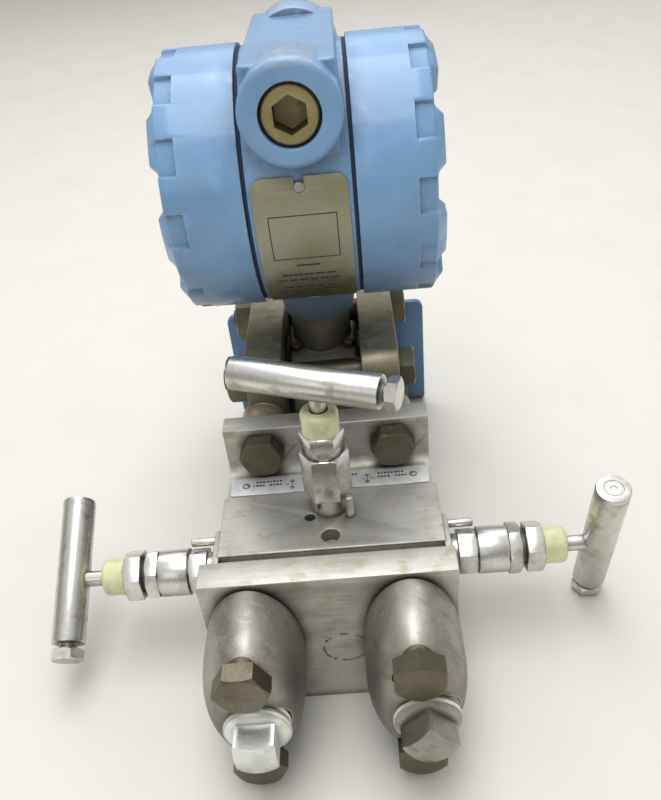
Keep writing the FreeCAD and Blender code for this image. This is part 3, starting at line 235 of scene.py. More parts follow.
def enamel(name, colour, shade_and_dirt, shaded_foot_mm=None):
    """Enamel over aluminium: orange peel, specks, rubbed edges and chips, and painted shade in the corners and on
    faces that look down.

    Heights in mm between which it is painted darker towards its foot, as painted shade; such a casting's top pad is
    rubbed too.
    """
    made = Shader(name, colour, 0.36, Coat_Weight=0.5, Coat_Roughness=0.13)
    made.paint(made.spots(34, 0.42, 0.68), scaled(colour, 0.84), 0.44)
    made.paint(made.spots(11, 0.53, 0.75, 5), scaled(colour, 1.1), 0.3)
    made.paint(made.spots(0.45, 0.48, 0.68, 2), scaled(colour, 0.78), 0.42, share=0.35)
    made.paint(made.band(made.noise(0.5, 2, (1.1, 1.1, 1.1)), 0.6, 0.7), scaled(colour, 1.3), 0.42, share=0.18)
    if shaded_foot_mm:
        foot, top = shaded_foot_mm
        # painted shade: darker towards the foot of the housing, between the given heights
        foot_shade = made.band(made.ragged_height(9, 4, 12), top * MM, foot * MM)
        made.paint(foot_shade, scaled(shade_and_dirt, 1.25), 0.62, share=0.78)
    # painted shade: darker on faces that look down
    made.paint(made.shaded_underside(0.1, -0.8), scaled(colour, 0.45), 0.5, share=0.5)
    if shaded_foot_mm:
        pad = made.band(made.height(), PAD_TOP_MM[0] * MM, PAD_TOP_MM[1] * MM)
        made.paint(made.both(pad, made.spots(2.5, 0.3, 0.62, 6)), CHALK, 0.55, share=0.6)
    made.paint(made.both(made.edge(1.3, 0.03, 0.16), made.spots(2.2, 0.45, 0.6, 5)), BARE_PRIMER, 0.42, share=0.75)
    made.paint(made.both(made.edge(0.7, 0.05, 0.2), made.spots(1.2, 0.6, 0.66, 5)), BARE_METAL, 0.4)
    # painted shade: darkened in patches deep in corners and gaps
    made.paint(made.both(made.corner(10), made.spots(4, 0.2, 0.55, 4)), shade_and_dirt, 0.7)
    made.raise_by(made.noise(1.6, 2), 0.05, 0.35)
    return made.done()


def steel(name, colour, roughness, shade_and_dirt, run=(1, 1, 1), pits=0.0, stain=None, speck=0.3, reach=2.5):
    """Stainless or plated steel: tool lines, pits and stains, with painted shade in the corners and on faces that
    look down.
    """
    made = Shader(name, colour, roughness, metallic=1.0)
    made.paint(made.spots(16, 0.4, 0.72, 4), scaled(colour, 0.8), roughness + 0.08)
    if stain:
        made.paint(made.spots(7, 0.52, 0.7, 6), stain, roughness + 0.14, share=0.75)
    lines = made.noise(3.2, 4, stretch=run, rough=0.7)
    made.paint(made.band(lines, 0.5, 0.72), scaled(colour, 1.22), roughness * 0.8, share=0.5)
    made.paint(made.spots(0.8, 0.6, 0.7), scaled(colour, 0.45), 0.55, share=speck)
    made.paint(made.spots(0.32, 0.5, 0.66, 2), scaled(colour, 0.62), 0.5, share=speck * 0.6)
    made.paint(made.edge(0.4, 0.04, 0.2), scaled(colour, 1.3), roughness * 0.7, share=0.55)
    # painted shade, tinted brown, on faces that look down
    made.paint(made.shaded_underside(0.1, -0.7), UNDERSIDE_SHADE_BROWN, roughness + 0.1, share=0.6)
    # painted shade deep in corners and gaps
    made.paint(made.corner(reach), shade_and_dirt, 0.6, share=0.9)
    made.raise_by(lines, 0.006, 0.4)
    if pits:
        made.raise_by(made.spots(0.9, 0.62, 0.58, 2), 0.03 * pits, 0.7)
    return made.done()


def casting(name, colour, roughness, metallic, shade_and_dirt, grain_mm, depth, patch=None):
    """Sand casting: grain, soft patches, rubbed high spots, and painted shade in the corners and on faces that look
    down.
    """
    made = Shader(name, colour, roughness, metallic=metallic)
    made.paint(made.spots(20, 0.4, 0.7, 4), scaled(colour, 0.72), roughness + 0.1)
    if patch:
        made.paint(made.spots(9, 0.5, 0.68, 5), patch, roughness + 0.08, share=0.7)
    made.paint(made.spots(0.7, 0.55, 0.7), scaled(colour, 0.5), 0.65, share=0.4)
    made.paint(made.spots(3.0, 0.56, 0.66, 6), scaled(colour, 1.35), roughness, share=0.35)
    # painted shade on side and downward faces
    made.paint(made.shaded_underside(0.6, -0.25), scaled(colour, 0.30), 0.5, share=0.78)
    made.paint(made.edge(1.0, 0.04, 0.2), scaled(colour, 1.5), roughness * 0.8, share=0.6)
    # painted shade deep in corners and gaps
    made.paint(made.corner(4.0), shade_and_dirt, 0.75, share=0.95)
    made.raise_by(made.noise(grain_mm, 4), depth, 0.6)
    return made.done()


def plastic(name, colour, roughness, **fixed):
    made = Shader(name, colour, roughness, **fixed)
    made.paint(made.spots(5, 0.45, 0.7, 4), scaled(colour, 0.82), roughness + 0.08)
    made.paint(made.spots(0.6, 0.62, 0.7, 2), scaled(colour, 0.55), 0.6, share=0.4)
    made.raise_by(made.noise(1.0, 3), 0.03, 0.35)
    return made.done()


def plated_sheet(name, colour, shade_and_dirt):
    """Dull nameplate sheet, yellowed in patches and darker towards its foot."""
    yellowed, darker_low, rubbed = (0.33, 0.31, 0.17), (0.09, 0.085, 0.05), (0.7, 0.7, 0.62)
    made = Shader(name, colour, 0.42, metallic=0.75)
    made.paint(made.spots(14, 0.35, 0.7, 4), yellowed, 0.5, share=0.7)
    # darker towards the foot of the nameplate
    made.paint(made.band(made.ragged_height(8, 5, 22), 143 * MM, 114 * MM), darker_low, 0.58, share=0.85)
    made.paint(made.spots(0.5, 0.55, 0.72, 5), scaled(shade_and_dirt, 3.0), 0.6, share=0.35)
    made.paint(made.edge(0.5), rubbed, 0.3, share=0.6)
    made.raise_by(made.noise(2.5, 5), 0.05, 0.4)
    return made.done()


def build_finishes(colours):
    """Every slot's material, by slot name."""
    shade_and_dirt = tuple(colours.shade_and_dirt)
    return {
        "blue_paint": enamel("blue_enamel", tuple(colours.housing), shade_and_dirt, shaded_foot_mm=(90, 136)),
        "bracket_paint": enamel("bracket_enamel", tuple(colours.bracket), shade_and_dirt),
        "machined_stainless": steel("milled_stainless", tuple(colours.milled), 0.50, shade_and_dirt, run=(0.12, 2.2, 2.2),
                                    stain=(0.47, 0.42, 0.30), reach=4.0),
        "polished_stainless": steel("turned_stainless", tuple(colours.turned), 0.25, shade_and_dirt, run=(1.6, 1.6, 1.6),
                                    pits=0.25, stain=(0.42, 0.39, 0.30), speck=0.22),
        "cast_flange": casting("cast_flange_steel", tuple(colours.cast), 0.46, 0.85, shade_and_dirt, 0.9, 0.06,
                               patch=(0.50, 0.49, 0.44)),
        "adapter_casting": casting("pewter_casting", tuple(colours.pewter), 0.38, 0.8, shade_and_dirt, 1.3, 0.05,
                                   patch=(0.25, 0.215, 0.17)),
        "speckled_zinc": steel("speckled_yellow_zinc", tuple(colours.zinc), 0.40, shade_and_dirt, pits=1.6,
                               stain=(0.16, 0.13, 0.07), speck=0.8),
        "bright_zinc": steel("bright_zinc", (0.84, 0.86, 0.86), 0.30, shade_and_dirt, pits=0.8,
                             stain=(0.68, 0.65, 0.46)),
        "black_oxide": steel("blackened_steel", (0.400, 0.390, 0.350), 0.38, shade_and_dirt, pits=1.4,
                             stain=(0.15, 0.13, 0.09), speck=0.5),
        "yellow_zinc": steel("browned_zinc", (0.37, 0.32, 0.165), 0.38, shade_and_dirt, pits=2.0,
                             stain=(0.13, 0.11, 0.05), speck=0.9, reach=8.0),
        "cap_plastic": plastic("dust_cap_plastic", tuple(colours.cap), 0.32, Transmission_Weight=0.12,
                               Subsurface_Weight=0.3, Subsurface_Scale=0.003, Coat_Weight=0.5,
                               Coat_Roughness=0.12, IOR=1.46),
        "ptfe": plastic("thread_tape_white", (0.80, 0.79, 0.72), 0.6),
        "rubber": plastic("seal_rubber", (0.030, 0.050, 0.095), 0.5),
        "dark_sensor": casting("welded_dark_steel", (0.260, 0.245, 0.190), 0.5, 0.7, shade_and_dirt, 0.8, 0.05),
        "nameplate_steel": plated_sheet("nameplate_sheet", (0.35, 0.345, 0.27), shade_and_dirt),
        "label_film": plastic("label_grey", (0.70, 0.71, 0.72), 0.40, Metallic=0.4),
        "terminal_plastic": plastic("terminal_moulding", (0.03, 0.03, 0.032), 0.4),
        "board_green": plastic("circuit_board", (0.03, 0.16, 0.07), 0.35),
        "ptfe_packing": plastic("packing_white", (0.78, 0.77, 0.70), 0.5),
        "worn_ink": plastic("worn_ink", (0.150, 0.170, 0.300), 0.55, Metallic=0.4),
        "print_black": plastic("printed_black", (0.030, 0.030, 0.028), 0.5),
        "rivet_aluminium": steel("rivet_aluminium", (0.42, 0.41, 0.37), 0.45, shade_and_dirt, pits=0.6),
    }


FINISHES = {}


# ---------------------------------------------------------------- mesh building
WELD = 2e-6  # points of a CAD mesh closer than this are one
SHARP_TURN = math.radians(28)


def circle(steps):
    """Points (x, y) round the unit circle."""
    turns = [math.tau * k / steps for k in range(steps)]
    return [(math.cos(turn), math.sin(turn)) for turn in turns]


def smooth(mesh, crease):
    """Shade a mesh round, but for edges that turn by more than crease degrees."""
    for polygon in mesh.polygons:
        polygon.use_smooth = True
    mesh.set_sharp_from_angle(angle=math.radians(crease))


def taken_mesh(name, form):
    """Mesh with the faces of a bmesh, which is let go."""
    mesh = bpy.data.meshes.new(name)
    form.to_mesh(mesh)
    form.free()
    return mesh


def finish_mesh(name, mesh, node, slot, crease):
    """Hand a finished mesh over as a piece that rides on the node's body."""
    smooth(mesh, crease)
    mesh.materials.clear()
    mesh.materials.append(FINISHES[slot])
    piece = bpy.data.objects.new(name, mesh)
    bpy.context.scene.collection.objects.link(piece)
    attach(piece, BODY[node])
    return piece


def welded(node):
    """Bmesh of a CAD node, its doubled points joined."""
    form = bmesh.new()
    form.from_mesh(NODES[node].data)
    bmesh.ops.remove_doubles(form, verts=form.verts, dist=WELD)
    return form


def soften(node, width, segments=3):
    """Stand for a CAD node with the same form, its edges rounded by width."""
    form = welded(node)
    bmesh.ops.dissolve_limit(form, angle_limit=math.radians(0.3), verts=form.verts, edges=form.edges)
    sharp = [edge for edge in form.edges if edge.is_manifold and edge.calc_face_angle(0) > SHARP_TURN]
    bmesh.ops.bevel(form, geom=sharp, offset=width, offset_type="OFFSET", segments=segments, profile=0.5,
                    affect="EDGES", clamp_overlap=False)
    bmesh.ops.remove_doubles(form, verts=form.verts, dist=WELD / 2)
    name = node + "_form"
    piece = finish_mesh(name, taken_mesh(name, form), node, SLOTS[node], crease=36)
    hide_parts(node)


def dress(*nodes):
    """Keep CAD nodes as they are and give them their finish."""
    for node in nodes:
        material = FINISHES[SLOTS[node]]
        slots = NODES[node].data.materials
        if not slots:
            slots.append(material)
        for index in range(len(slots)):
            slots[index] = material


def mesh_points(node):
    """Points of a CAD node's mesh."""
    return np.array([vert.co for vert in NODES[node].data.vertices])


def islands(node):
    """Lowest and highest corner of each separate solid of a node."""
    form = welded(node)
    left, boxes = set(form.verts), []
    while left:
        reach = [left.pop()]
        found = list(reach)
        while reach:
            vert = reach.pop()
            for edge in vert.link_edges:
                other = edge.other_vert(vert)
                if other in left:
                    left.discard(other)
                    reach.append(other)
                    found.append(other)
        spots = np.array([vert.co for vert in found])
        boxes.append((Vector(spots.min(0)), Vector(spots.max(0))))
    form.free()
    return sorted(boxes, key=lambda box: tuple(round(value, 5) for value in box[0]))


class Form:
    """A mesh under construction, in a local frame whose Z is set along an axis."""

    def __init__(self):
        self.mesh = bmesh.new()
        self.frame = Matrix.Identity(4)

    def at(self, point, axis=Z, spin=0.0):
        turn = Z.rotation_difference(Vector(axis)).to_matrix().to_4x4()
        self.frame = Matrix.Translation(point) @ turn @ Matrix.Rotation(spin, 4, "Z")
        return self

    def rings(self, rows):
        """Skin rows of points; a row of one point closes the form there."""
        rows = [[self.mesh.verts.new(self.frame @ Vector(point)) for point in row] for row in rows]
        for low, high in zip(rows, rows[1:]):
            count = max(len(low), len(high))
            for i in range(count):
                j = (i + 1) % count
                corners = [low[i % len(low)], low[j % len(low)], high[j % len(high)], high[i % len(high)]]
                face = [corner for k, corner in enumerate(corners) if corner not in corners[:k]]
                if len(face) > 2:
                    self.mesh.faces.new(face)
        return self

    def lathe(self, profile, steps):
        """Turn (radius, height) points about Z; both ends on the axis make a closed form."""
        around = circle(steps)
        return self.rings([[(0, 0, height)] if radius < 1e-7 else
                           [(radius * x, radius * y, height) for x, y in around] for radius, height in profile])

    def ring(self, profile, steps):
        """Turn a closed outline about Z."""
        return self.lathe(list(profile) + [profile[0]], steps)

    def hexagon(self, flats, low, high, slope, turned=(True, True)):
        """Hex column from low to high, whose turned ends slope down from a circle inside the flats."""
        half, steps = flats / 2, 6 * 8
        turns = [math.tau * k / steps for k in range(steps)]
        reach = [half / math.cos(turn % (math.pi / 3) - math.pi / 6) for turn in turns]
        around = circle(steps)
        rows = [[(0, 0, low)]]
        for level, cut, way in ((low, turned[0], 1), (high, turned[1], -1)):
            flat = half * 0.96 if cut else half * 0.999
            face = [(flat * x, flat * y, level) for x, y in around]
            drop = [max(0.0, (r - flat)) * math.tan(slope) * cut for r in reach]
            side = [(r * x, r * y, level + way * d) for r, d, (x, y) in zip(reach, drop, around)]
            rows += [face, side] if way > 0 else [side, face]
        rows.append([(0, 0, high)])
        return self.rings(rows)

    def square_stud(self, flats, top):
        """Square column from 0 to top, its corners blunt and turned down at the end."""
        half, steps = flats / 2, 4 * 16
        turns = [math.tau * k / steps for k in range(steps)]
        reach = [half / math.cos((turn + math.pi / 4) % (math.pi / 2) - math.pi / 4) for turn in turns]
        around = circle(steps)
        drop = [max(0.0, r - half * 1.02) * 0.55 for r in reach]
        side = [min(r, half * 1.36) for r in reach]
        return self.rings([[(0, 0, 0)], [(r * x, r * y, 0) for r, (x, y) in zip(side, around)],
                           [(r * x, r * y, top - d) for r, d, (x, y) in zip(side, drop, around)],
                           [(half * x, half * y, top) for x, y in around], [(0, 0, top)]])

    def tube(self, rows):
        """Skin rows of points and close both ends on their middles."""
        middle = [tuple(sum(point[axis] for point in end) / len(end) for axis in range(3))
                  for end in (rows[0], rows[-1])]
        return self.rings([[middle[0]]] + rows + [[middle[1]]])

    def slab(self, low, high):
        """Closed box between two corners."""
        return self.tube([[(x, y, z) for x, y in ((low[0], low[1]), (high[0], low[1]), (high[0], high[1]),
                                                  (low[0], high[1]))] for z in (low[2], high[2])])

    def piece(self, name, node, slot=None, crease=32.0, replaces=()):
        """Hand the form over as a piece."""
        bmesh.ops.remove_doubles(self.mesh, verts=self.mesh.verts, dist=1e-7)
        bmesh.ops.recalc_face_normals(self.mesh, faces=self.mesh.faces)
        made = finish_mesh(name, taken_mesh(name, self.mesh), node, slot or SLOTS[node], crease)
        if replaces:
            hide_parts(*replaces)
        return made


def drill_bar(point, axis, radius):
    """Closed bar to cut a blunt-ended hole with, from the hole's floor outward along axis."""
    reach, blunt = 20 * MM, 0.6 * MM
    return Form().at(point, axis).lathe([(0, 0), (radius - blunt, 0), (radius, blunt), (radius, reach),
                                         (0, reach)], 96)


def cut_by(piece, cutter):
    """Take a closed form away from a piece, and throw the cutter away."""
    bmesh.ops.recalc_face_normals(cutter.mesh, faces=cutter.mesh.faces)
    tool = bpy.data.objects.new("cutter", taken_mesh("cutter", cutter.mesh))
    bpy.context.scene.collection.objects.link(tool)
    modifier = piece.modifiers.new("cut", "BOOLEAN")
    modifier.operation, modifier.object, modifier.solver = "DIFFERENCE", tool, "EXACT"
    bpy.context.view_layer.update()
    shape = bpy.data.meshes.new_from_object(piece.evaluated_get(bpy.context.evaluated_depsgraph_get()))
    piece.modifiers.clear()
    piece.data = shape
    bpy.data.objects.remove(tool)
    smooth(shape, 32)


def threads(radius, low, high, pitch, depth):
    """Profile of a thread seen from the side, as rings."""
    points, turns = [], max(1, round((high - low) / pitch))
    step = (high - low) / turns
    for turn in range(turns):
        foot = low + turn * step
        points += [(radius - depth, foot + step * 0.08), (radius, foot + step * 0.42),
                   (radius, foot + step * 0.58), (radius - depth, foot + step * 0.92)]
    return points


def ramp_between(turn, centre, pitch, half, slope):
    """1 within half of the nearest centre, falling to 0 over slope; all in degrees."""
    away = abs((turn - centre + pitch / 2) % pitch - pitch / 2)
    return min(1.0, max(0.0, (half + slope / 2 - away) / slope))


# ---------------------------------------------------------------- pieces
def bolt(form, seat, axis, spin, head, shank_end, sizes):
    """Hex bolt seated at a point: head outward along axis, and its shank inward to shank_end."""
    flats, radius = 15.9 * MM, 5.55 * MM
    washer, washer_height, under_head = flats * 0.475, 0.3 * MM, 0.1 * MM
    lead, neck, longest_thread, thread_depth = 1.4 * MM, 2 * MM, 20 * MM, 0.55 * MM
    form.at(seat, axis, spin)
    form.hexagon(flats, 0.25 * MM, head, sizes.hex_chamfer, turned=(False, True))
    form.lathe([(0, 0), (washer, 0), (washer, washer_height), (0, washer_height)], 48)
    profile = [(0, under_head), (radius - 0.05 * MM, under_head)]
    profile += reversed(threads(radius, shank_end + lead, min(-neck, shank_end + longest_thread),
                                sizes.bolt_pitch, thread_depth))
    profile += [(radius * 0.8, shank_end), (0, shank_end)]
    form.lathe(profile, 40)


def build_bolts(sizes):
    """Manifold, body, adapter and bracket bolts, and the nuts on the body bolts."""
    head, nut_flats, turned_hex = 7.1 * MM, 17.5 * MM, math.radians(30)
    for node, axis in (("manifold_bolts", -Y), ("body_bolts", X), ("adapter_bolts", -Y), ("bracket_bolts", Y)):
        form = Form()
        for low, high in islands(node):
            centre = (low + high) / 2
            outer = max(low.dot(axis), high.dot(axis))
            inner = min(low.dot(axis), high.dot(axis))
            seat = centre + axis * (outer - head - centre.dot(axis))
            spin = turned_hex if node == "adapter_bolts" and centre.x > 0 else 0.0
            bolt(form, seat, axis, spin, head, inner - (outer - head), sizes)
        form.piece(node + "_threaded", node, replaces=(node,), crease=30)
    form = Form()
    for low, high in islands("body_nuts"):
        centre, thick = (low + high) / 2, high.x - low.x
        form.at(Vector((high.x, centre.y, centre.z)), -X, turned_hex)
        form.hexagon(nut_flats, 0, thick, sizes.hex_chamfer)
    form.piece("body_nuts_hex", "body_nuts", replaces=("body_nuts",), crease=30)


def build_adapters(sizes):
    """Domed oval flange adapters with spot faces under their bolts."""
    around, dome_steps = circle(120), 24
    bolt_rise, spot_level, spot_radius = 20.65 * MM, 28.6 * MM, 9.9 * MM
    port_shift, port_floor, port_radius = 2.0 * MM, 12 * MM, 10.75 * MM
    straight = sizes.adapter_straight
    for side in SIDES:
        node = f"{side}_flange_adapter"
        low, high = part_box(node)
        wide, tall, deep = (high.x - low.x) / 2, (high.z - low.z) / 2, high.y - low.y
        centre = Vector(((low.x + high.x) / 2, high.y, (low.z + high.z) / 2))
        rows = [(0.97, 0.0), (0.995, 0.5 * MM), (1.0, 1.4 * MM)]  # share of the outline, height above the joint
        for k in range(dome_steps):
            lean = math.pi / 2 * k / dome_steps
            rows.append((math.cos(lean) ** 0.62 * (1 - 0.012 * math.sin(lean)),
                         straight + (deep - straight) * math.sin(lean) ** 0.80))
        form = Form().at(centre, -Y)
        form.rings([[(0, 0, 0)]] + [[(wide * grow * x, tall * grow * y, level) for x, y in around]
                                    for grow, level in rows] + [[(0, 0, deep)]])
        casting_piece = form.piece(f"{node}_dome", node, crease=40)
        for way in (-1, 1):
            cut_by(casting_piece, drill_bar(centre + Z * (way * bolt_rise) - Y * spot_level, -Y, spot_radius))
        port = Vector((centre.x + port_shift, low.y + port_floor, centre.z))
        cut_by(casting_piece, drill_bar(port, -Y, port_radius))
        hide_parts(node)


# outline of a turn of thread tape: radius and height in mm, and how far it frays there
TAPE_OUTLINE = ((10.62, 0.0, 0.0), (11.0, 0.05, 0.08), (11.02, 0.8, 0.1), (10.9, 1.35, 0.25), (10.64, 1.25, 0.2),
                (10.62, 0.0, 0.0))


def build_plugs(sizes):
    """Square-headed pipe plugs and the frayed thread tape round them."""
    radius, inner_end, outer_end, root = 10.6 * MM, -15.9 * MM, 2.6 * MM, 0.8 * MM
    for side, spin in (("left", 0.0), ("right", math.pi / 4)):
        node = f"{side}_pipe_plug"
        low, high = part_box(node)
        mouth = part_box(f"{side}_flange_adapter")[0].y
        form = Form().at(Vector(((low.x + high.x) / 2, mouth, (low.z + high.z) / 2)), -Y, spin)
        form.lathe([(0, inner_end), (radius * 0.93, inner_end)]
                   + threads(radius, -4 * MM, 2.2 * MM, sizes.pipe_pitch, root)
                   + [(radius * 0.82, outer_end), (0, outer_end)], 64)
        form.square_stud(13.2 * MM, mouth - low.y)
        form.piece(f"{node}_square", node, replaces=(node,), crease=28)
    form = Form()
    for low, high in islands("thread_tape"):
        centre = (low + high) / 2
        form.at(Vector((centre.x, high.y, centre.z)), -Y)
        rows = []
        for r, z, fray in TAPE_OUTLINE:
            row = []
            for x, y in circle(90):
                jag = fray * noise.noise(Vector((x * 5, y * 5, r + centre.x * 90)))
                row.append(((r + 0.1 * jag) * MM * x, (r + 0.1 * jag) * MM * y, max(0.0, z + jag - fray * 0.3) * MM))
            rows.append(row)
        form.rings(rows)
    form.piece("thread_tape_frayed", "thread_tape", replaces=("thread_tape",), crease=50)


def rounded_cap(form, radius, bore, foot, top, wall, shoulder):
    """Plastic cap: soft shoulder, slight flare at its foot."""
    outer = [(radius, foot), (radius - 0.15 * MM, foot + 1.2 * MM)]
    for k in range(9):
        lean = math.pi / 2 * k / 8
        outer.append((radius - 0.2 * MM - shoulder * (1 - math.cos(lean)), top - shoulder * (1 - math.sin(lean))))
    inner = [(bore, top), (bore, top - wall), (radius - wall - shoulder * 0.4, top - wall),
             (radius - wall, top - wall - shoulder * 0.5), (radius - wall, foot)]
    form.ring(outer + inner, 72)


def build_valve_heads(sizes):
    """Bonnets, gland nuts, lock nuts and caps."""
    for valve in VALVES:
        soften(f"{valve}_bonnet", 0.28 * MM, segments=2)
        soften(f"{valve}_gland_nut", 0.22 * MM, segments=2)
        joint = JOINTS[f"{valve}_turn"]
        axis, start = Vector(joint["axis"]), Vector(joint["pos_m"])
        low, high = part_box(f"{valve}_dust_cap")
        foot, top = sorted(((low - start).dot(axis), (high - start).dot(axis)))
        form = Form().at(start, axis)
        rounded_cap(form, 7.3 * MM, 3.56 * MM, foot, top, wall=1.2 * MM, shoulder=2.0 * MM)
        form.piece(f"{valve}_dust_cap_moulded", f"{valve}_dust_cap", replaces=(f"{valve}_dust_cap",), crease=40)
    soften("bonnet_lock_nuts", 0.22 * MM, segments=2)
    soften("lock_pins", 0.2 * MM, segments=2)
    dress("stem_packings")


def bar_line(valve):
    """Middle, direction towards the screw, and the two ends of a valve's handle bar."""
    joint = JOINTS[f"{valve}_turn"]
    start, axis = Vector(joint["pos_m"]), Vector(joint["axis"])
    spots = mesh_points(f"{valve}_handle_bar")
    middle = Vector((spots.min(0) + spots.max(0)) / 2)
    low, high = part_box(f"{valve}_handle_screw")
    hub = start + axis * (middle - start).dot(axis)
    way = (low + high) / 2 - hub
    way = (way - axis * way.dot(axis)).normalized()
    along = (spots - np.array(hub)) @ np.array(way)
    return hub, way, float(along.min()), float(along.max())


BAR_RADIUS_MM, BAR_GROOVES_MM = 6.35, (2.2, 3.1)
# plain end of a handle bar, in mm: a centre mark and a raised ring (radius, distance from the end), then the
# rounded corner (distance inside the bar's radius, distance from the end)
BAR_FACE_MM = ((0, 0.35), (1.1, 0.25), (1.3, 0.05), (3.0, 0.05), (3.2, 0.2), (3.5, 0.2), (3.7, 0))
BAR_CORNER_MM = ((0.9, 0), (0.35, 0.12), (0.08, 0.45), (0, 0.9))


def build_handles(sizes):
    """T-bars with turned end rings, and the hex screws that hold them."""
    radius, reach_out, seat_depth = BAR_RADIUS_MM * MM, 2.6 * MM, 1.2 * MM
    hex_flats, hex_height, shank, thread_depth = 11.1 * MM, 4.3 * MM, 3.4 * MM, 0.35 * MM
    for valve in VALVES:
        hub, way, plain, screw_end = bar_line(valve)
        screw_end += reach_out
        profile = [(r * MM, plain + z * MM) for r, z in BAR_FACE_MM]
        profile += [(radius - inset * MM, plain + z * MM) for inset, z in BAR_CORNER_MM]
        for groove in BAR_GROOVES_MM:
            profile += [(radius - cut * MM, plain + groove * MM + z * MM)
                        for cut, z in ((0, -0.22), (0.12, -0.1), (0.12, 0.1), (0, 0.22))]
        profile += [(radius, screw_end - 0.7 * MM), (radius - 0.2 * MM, screw_end - 0.2 * MM),
                    (radius - 0.7 * MM, screw_end), (3.6 * MM, screw_end), (3.5 * MM, screw_end - seat_depth),
                    (0, screw_end - seat_depth)]
        form = Form().at(hub, way)
        form.lathe(profile, 96)
        form.piece(f"{valve}_handle_bar_turned", f"{valve}_handle_bar", replaces=(f"{valve}_handle_bar",))
        node = f"{valve}_handle_screw"
        outer = float(((mesh_points(node) - np.array(hub)) @ np.array(way)).max())
        hex_foot = outer - hex_height
        form = Form().at(hub, way)
        form.hexagon(hex_flats, hex_foot, outer, sizes.hex_chamfer)
        form.lathe([(0, screw_end - 1.0 * MM), (shank, screw_end - 1.0 * MM)]
                   + threads(shank, screw_end - 0.8 * MM, hex_foot, 1.2 * MM, thread_depth)
                   + [(3.3 * MM, hex_foot + 0.2 * MM), (0, hex_foot + 0.2 * MM)], 40)
        form.piece(f"{valve}_handle_screw_hex", node, replaces=(node,), crease=30)
        dress(f"{valve}_stem", f"{valve}_needle")


def build_manifold(sizes):
    """Milled valve block with its flanges, and the worn ink ring on the front one."""
    soften("manifold_body", sizes.machined_edge)
    dress("process_gaskets")
    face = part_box("manifold_body")[0].y
    centre_x, centre_z, radius, marks = 3.6 * MM, 27.5 * MM, 7.2 * MM, 44
    sunk, proud = 0.012 * MM, 0.02 * MM
    form = Form()
    for k in range(marks):
        worn = (k * 7 + 3) % 11
        if worn in (0, 4) or 12 < k < 16:
            continue
        lean, wide, tall = math.tau * k / marks, (0.30 + 0.03 * worn) * MM, (0.28 + 0.05 * ((k * 5) % 7)) * MM
        x, z = centre_x + radius * 1.08 * math.cos(lean), centre_z + radius * math.sin(lean)
        form.slab((x - wide, face - sunk, z - tall), (x + wide, face + proud, z + tall))
    form.piece("inspection_ring", "manifold_body", slot="worn_ink")


def build_flanges(sizes):
    """Process flanges, the sensor module between them, and its fill plugs."""
    for side in SIDES:
        soften(f"{side}_process_flange", sizes.casting_edge)
    soften("sensor_module", 0.3 * MM)
    soften("fill_plugs", 0.2 * MM, segments=2)
    dress("module_seals", "isolating_diaphragms")


def build_housing(sizes):
    """Housing casting with its seals and the conduit plug."""
    soften("housing_body", sizes.casting_edge)
    soften("conduit_plug", 0.3 * MM)
    dress("left_cover_seal", "right_cover_seal")


def build_covers(sizes):
    """Screwed covers: notches round the rim, and lugs cast on the end for a spanner."""
    rim, skirt, plate = 49.5, 44.9, 48.9  # radii of rim and skirt, and level of the end plate, in mm
    notch_depth, around = 1.6, 480
    turns = [360.0 * k / around for k in range(around)]
    for (side, way), notch_centre, lug_centre in zip(SIDES.items(), (0.0, 6.0), (-6.0, -16.0)):
        node = f"{side}_cover"
        low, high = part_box(node)
        centre = Vector((0, *JOINTS[f"{side}_cover_turn"]["pos_m"][1:]))
        end = max(abs(low.x), abs(high.x)) / MM
        mouth = min(abs(low.x), abs(high.x)) / MM
        notch = [ramp_between(turn, notch_centre, 30.0, 7.2, 0.9) for turn in turns]
        lug = [ramp_between(turn, lug_centre, 45.0, 13.0, 4.5) for turn in turns]

        def row(radius, cut_depth, height, lug_rise):
            """Ring of points, cut in at the notches and raised at the lugs."""
            points = []
            for turn, cut, rise in zip(turns, notch, lug):
                r, z, lean = radius - cut_depth * cut, height + lug_rise * rise, math.radians(turn)
                points.append((way * z * MM, -r * math.cos(lean) * MM, r * math.sin(lean) * MM))
            return points

        # radius, depth of the notches, height, and share of the lugs' height
        outline = ((skirt - 3, 0, plate - 1.5, 0), (skirt, 0, plate - 4.2, 0), (skirt, 0, mouth, 0),
                   (rim - 0.35, 0, mouth, 0), (rim - 0.08, 0, mouth + 0.1, 0), (rim, 0, mouth + 0.35, 0),
                   (rim, 0, 30, 0), (rim, 0, 42.0, 0), (rim, 0.25, 42.1, 0), (rim, 1.45, 42.3, 0),
                   (rim, notch_depth, 42.6, 0), (rim, notch_depth, plate - 1.0, 0),
                   (rim - 0.25, notch_depth, plate - 0.35, 0), (rim - 0.7, notch_depth, plate, 0),
                   (47.2, 0.6, plate, 0.25), (44.6, 0, plate, 0.93), (43.8, 0, plate, 1), (35.6, 0, plate, 1),
                   (34.8, 0, plate, 0.92), (33.4, 0, plate, 0), (20, 0, plate, 0))
        form = Form().at(centre)
        form.rings([[(way * (plate - 1.5) * MM, 0, 0)]]
                   + [row(radius, cut_depth, height, share * (end - plate))
                      for radius, cut_depth, height, share in outline] + [[(way * plate * MM, 0, 0)]])
        form.piece(f"{side}_cover_lugged", node, replaces=(node,), crease=34)


def build_bracket(sizes):
    """Bent mounting bracket."""
    soften("mounting_bracket", 0.35 * MM)


def housing_axis():
    """Point on the long axis of the housing, at x = 0."""
    return Vector((0, *JOINTS["left_cover_turn"]["pos_m"][1:]))


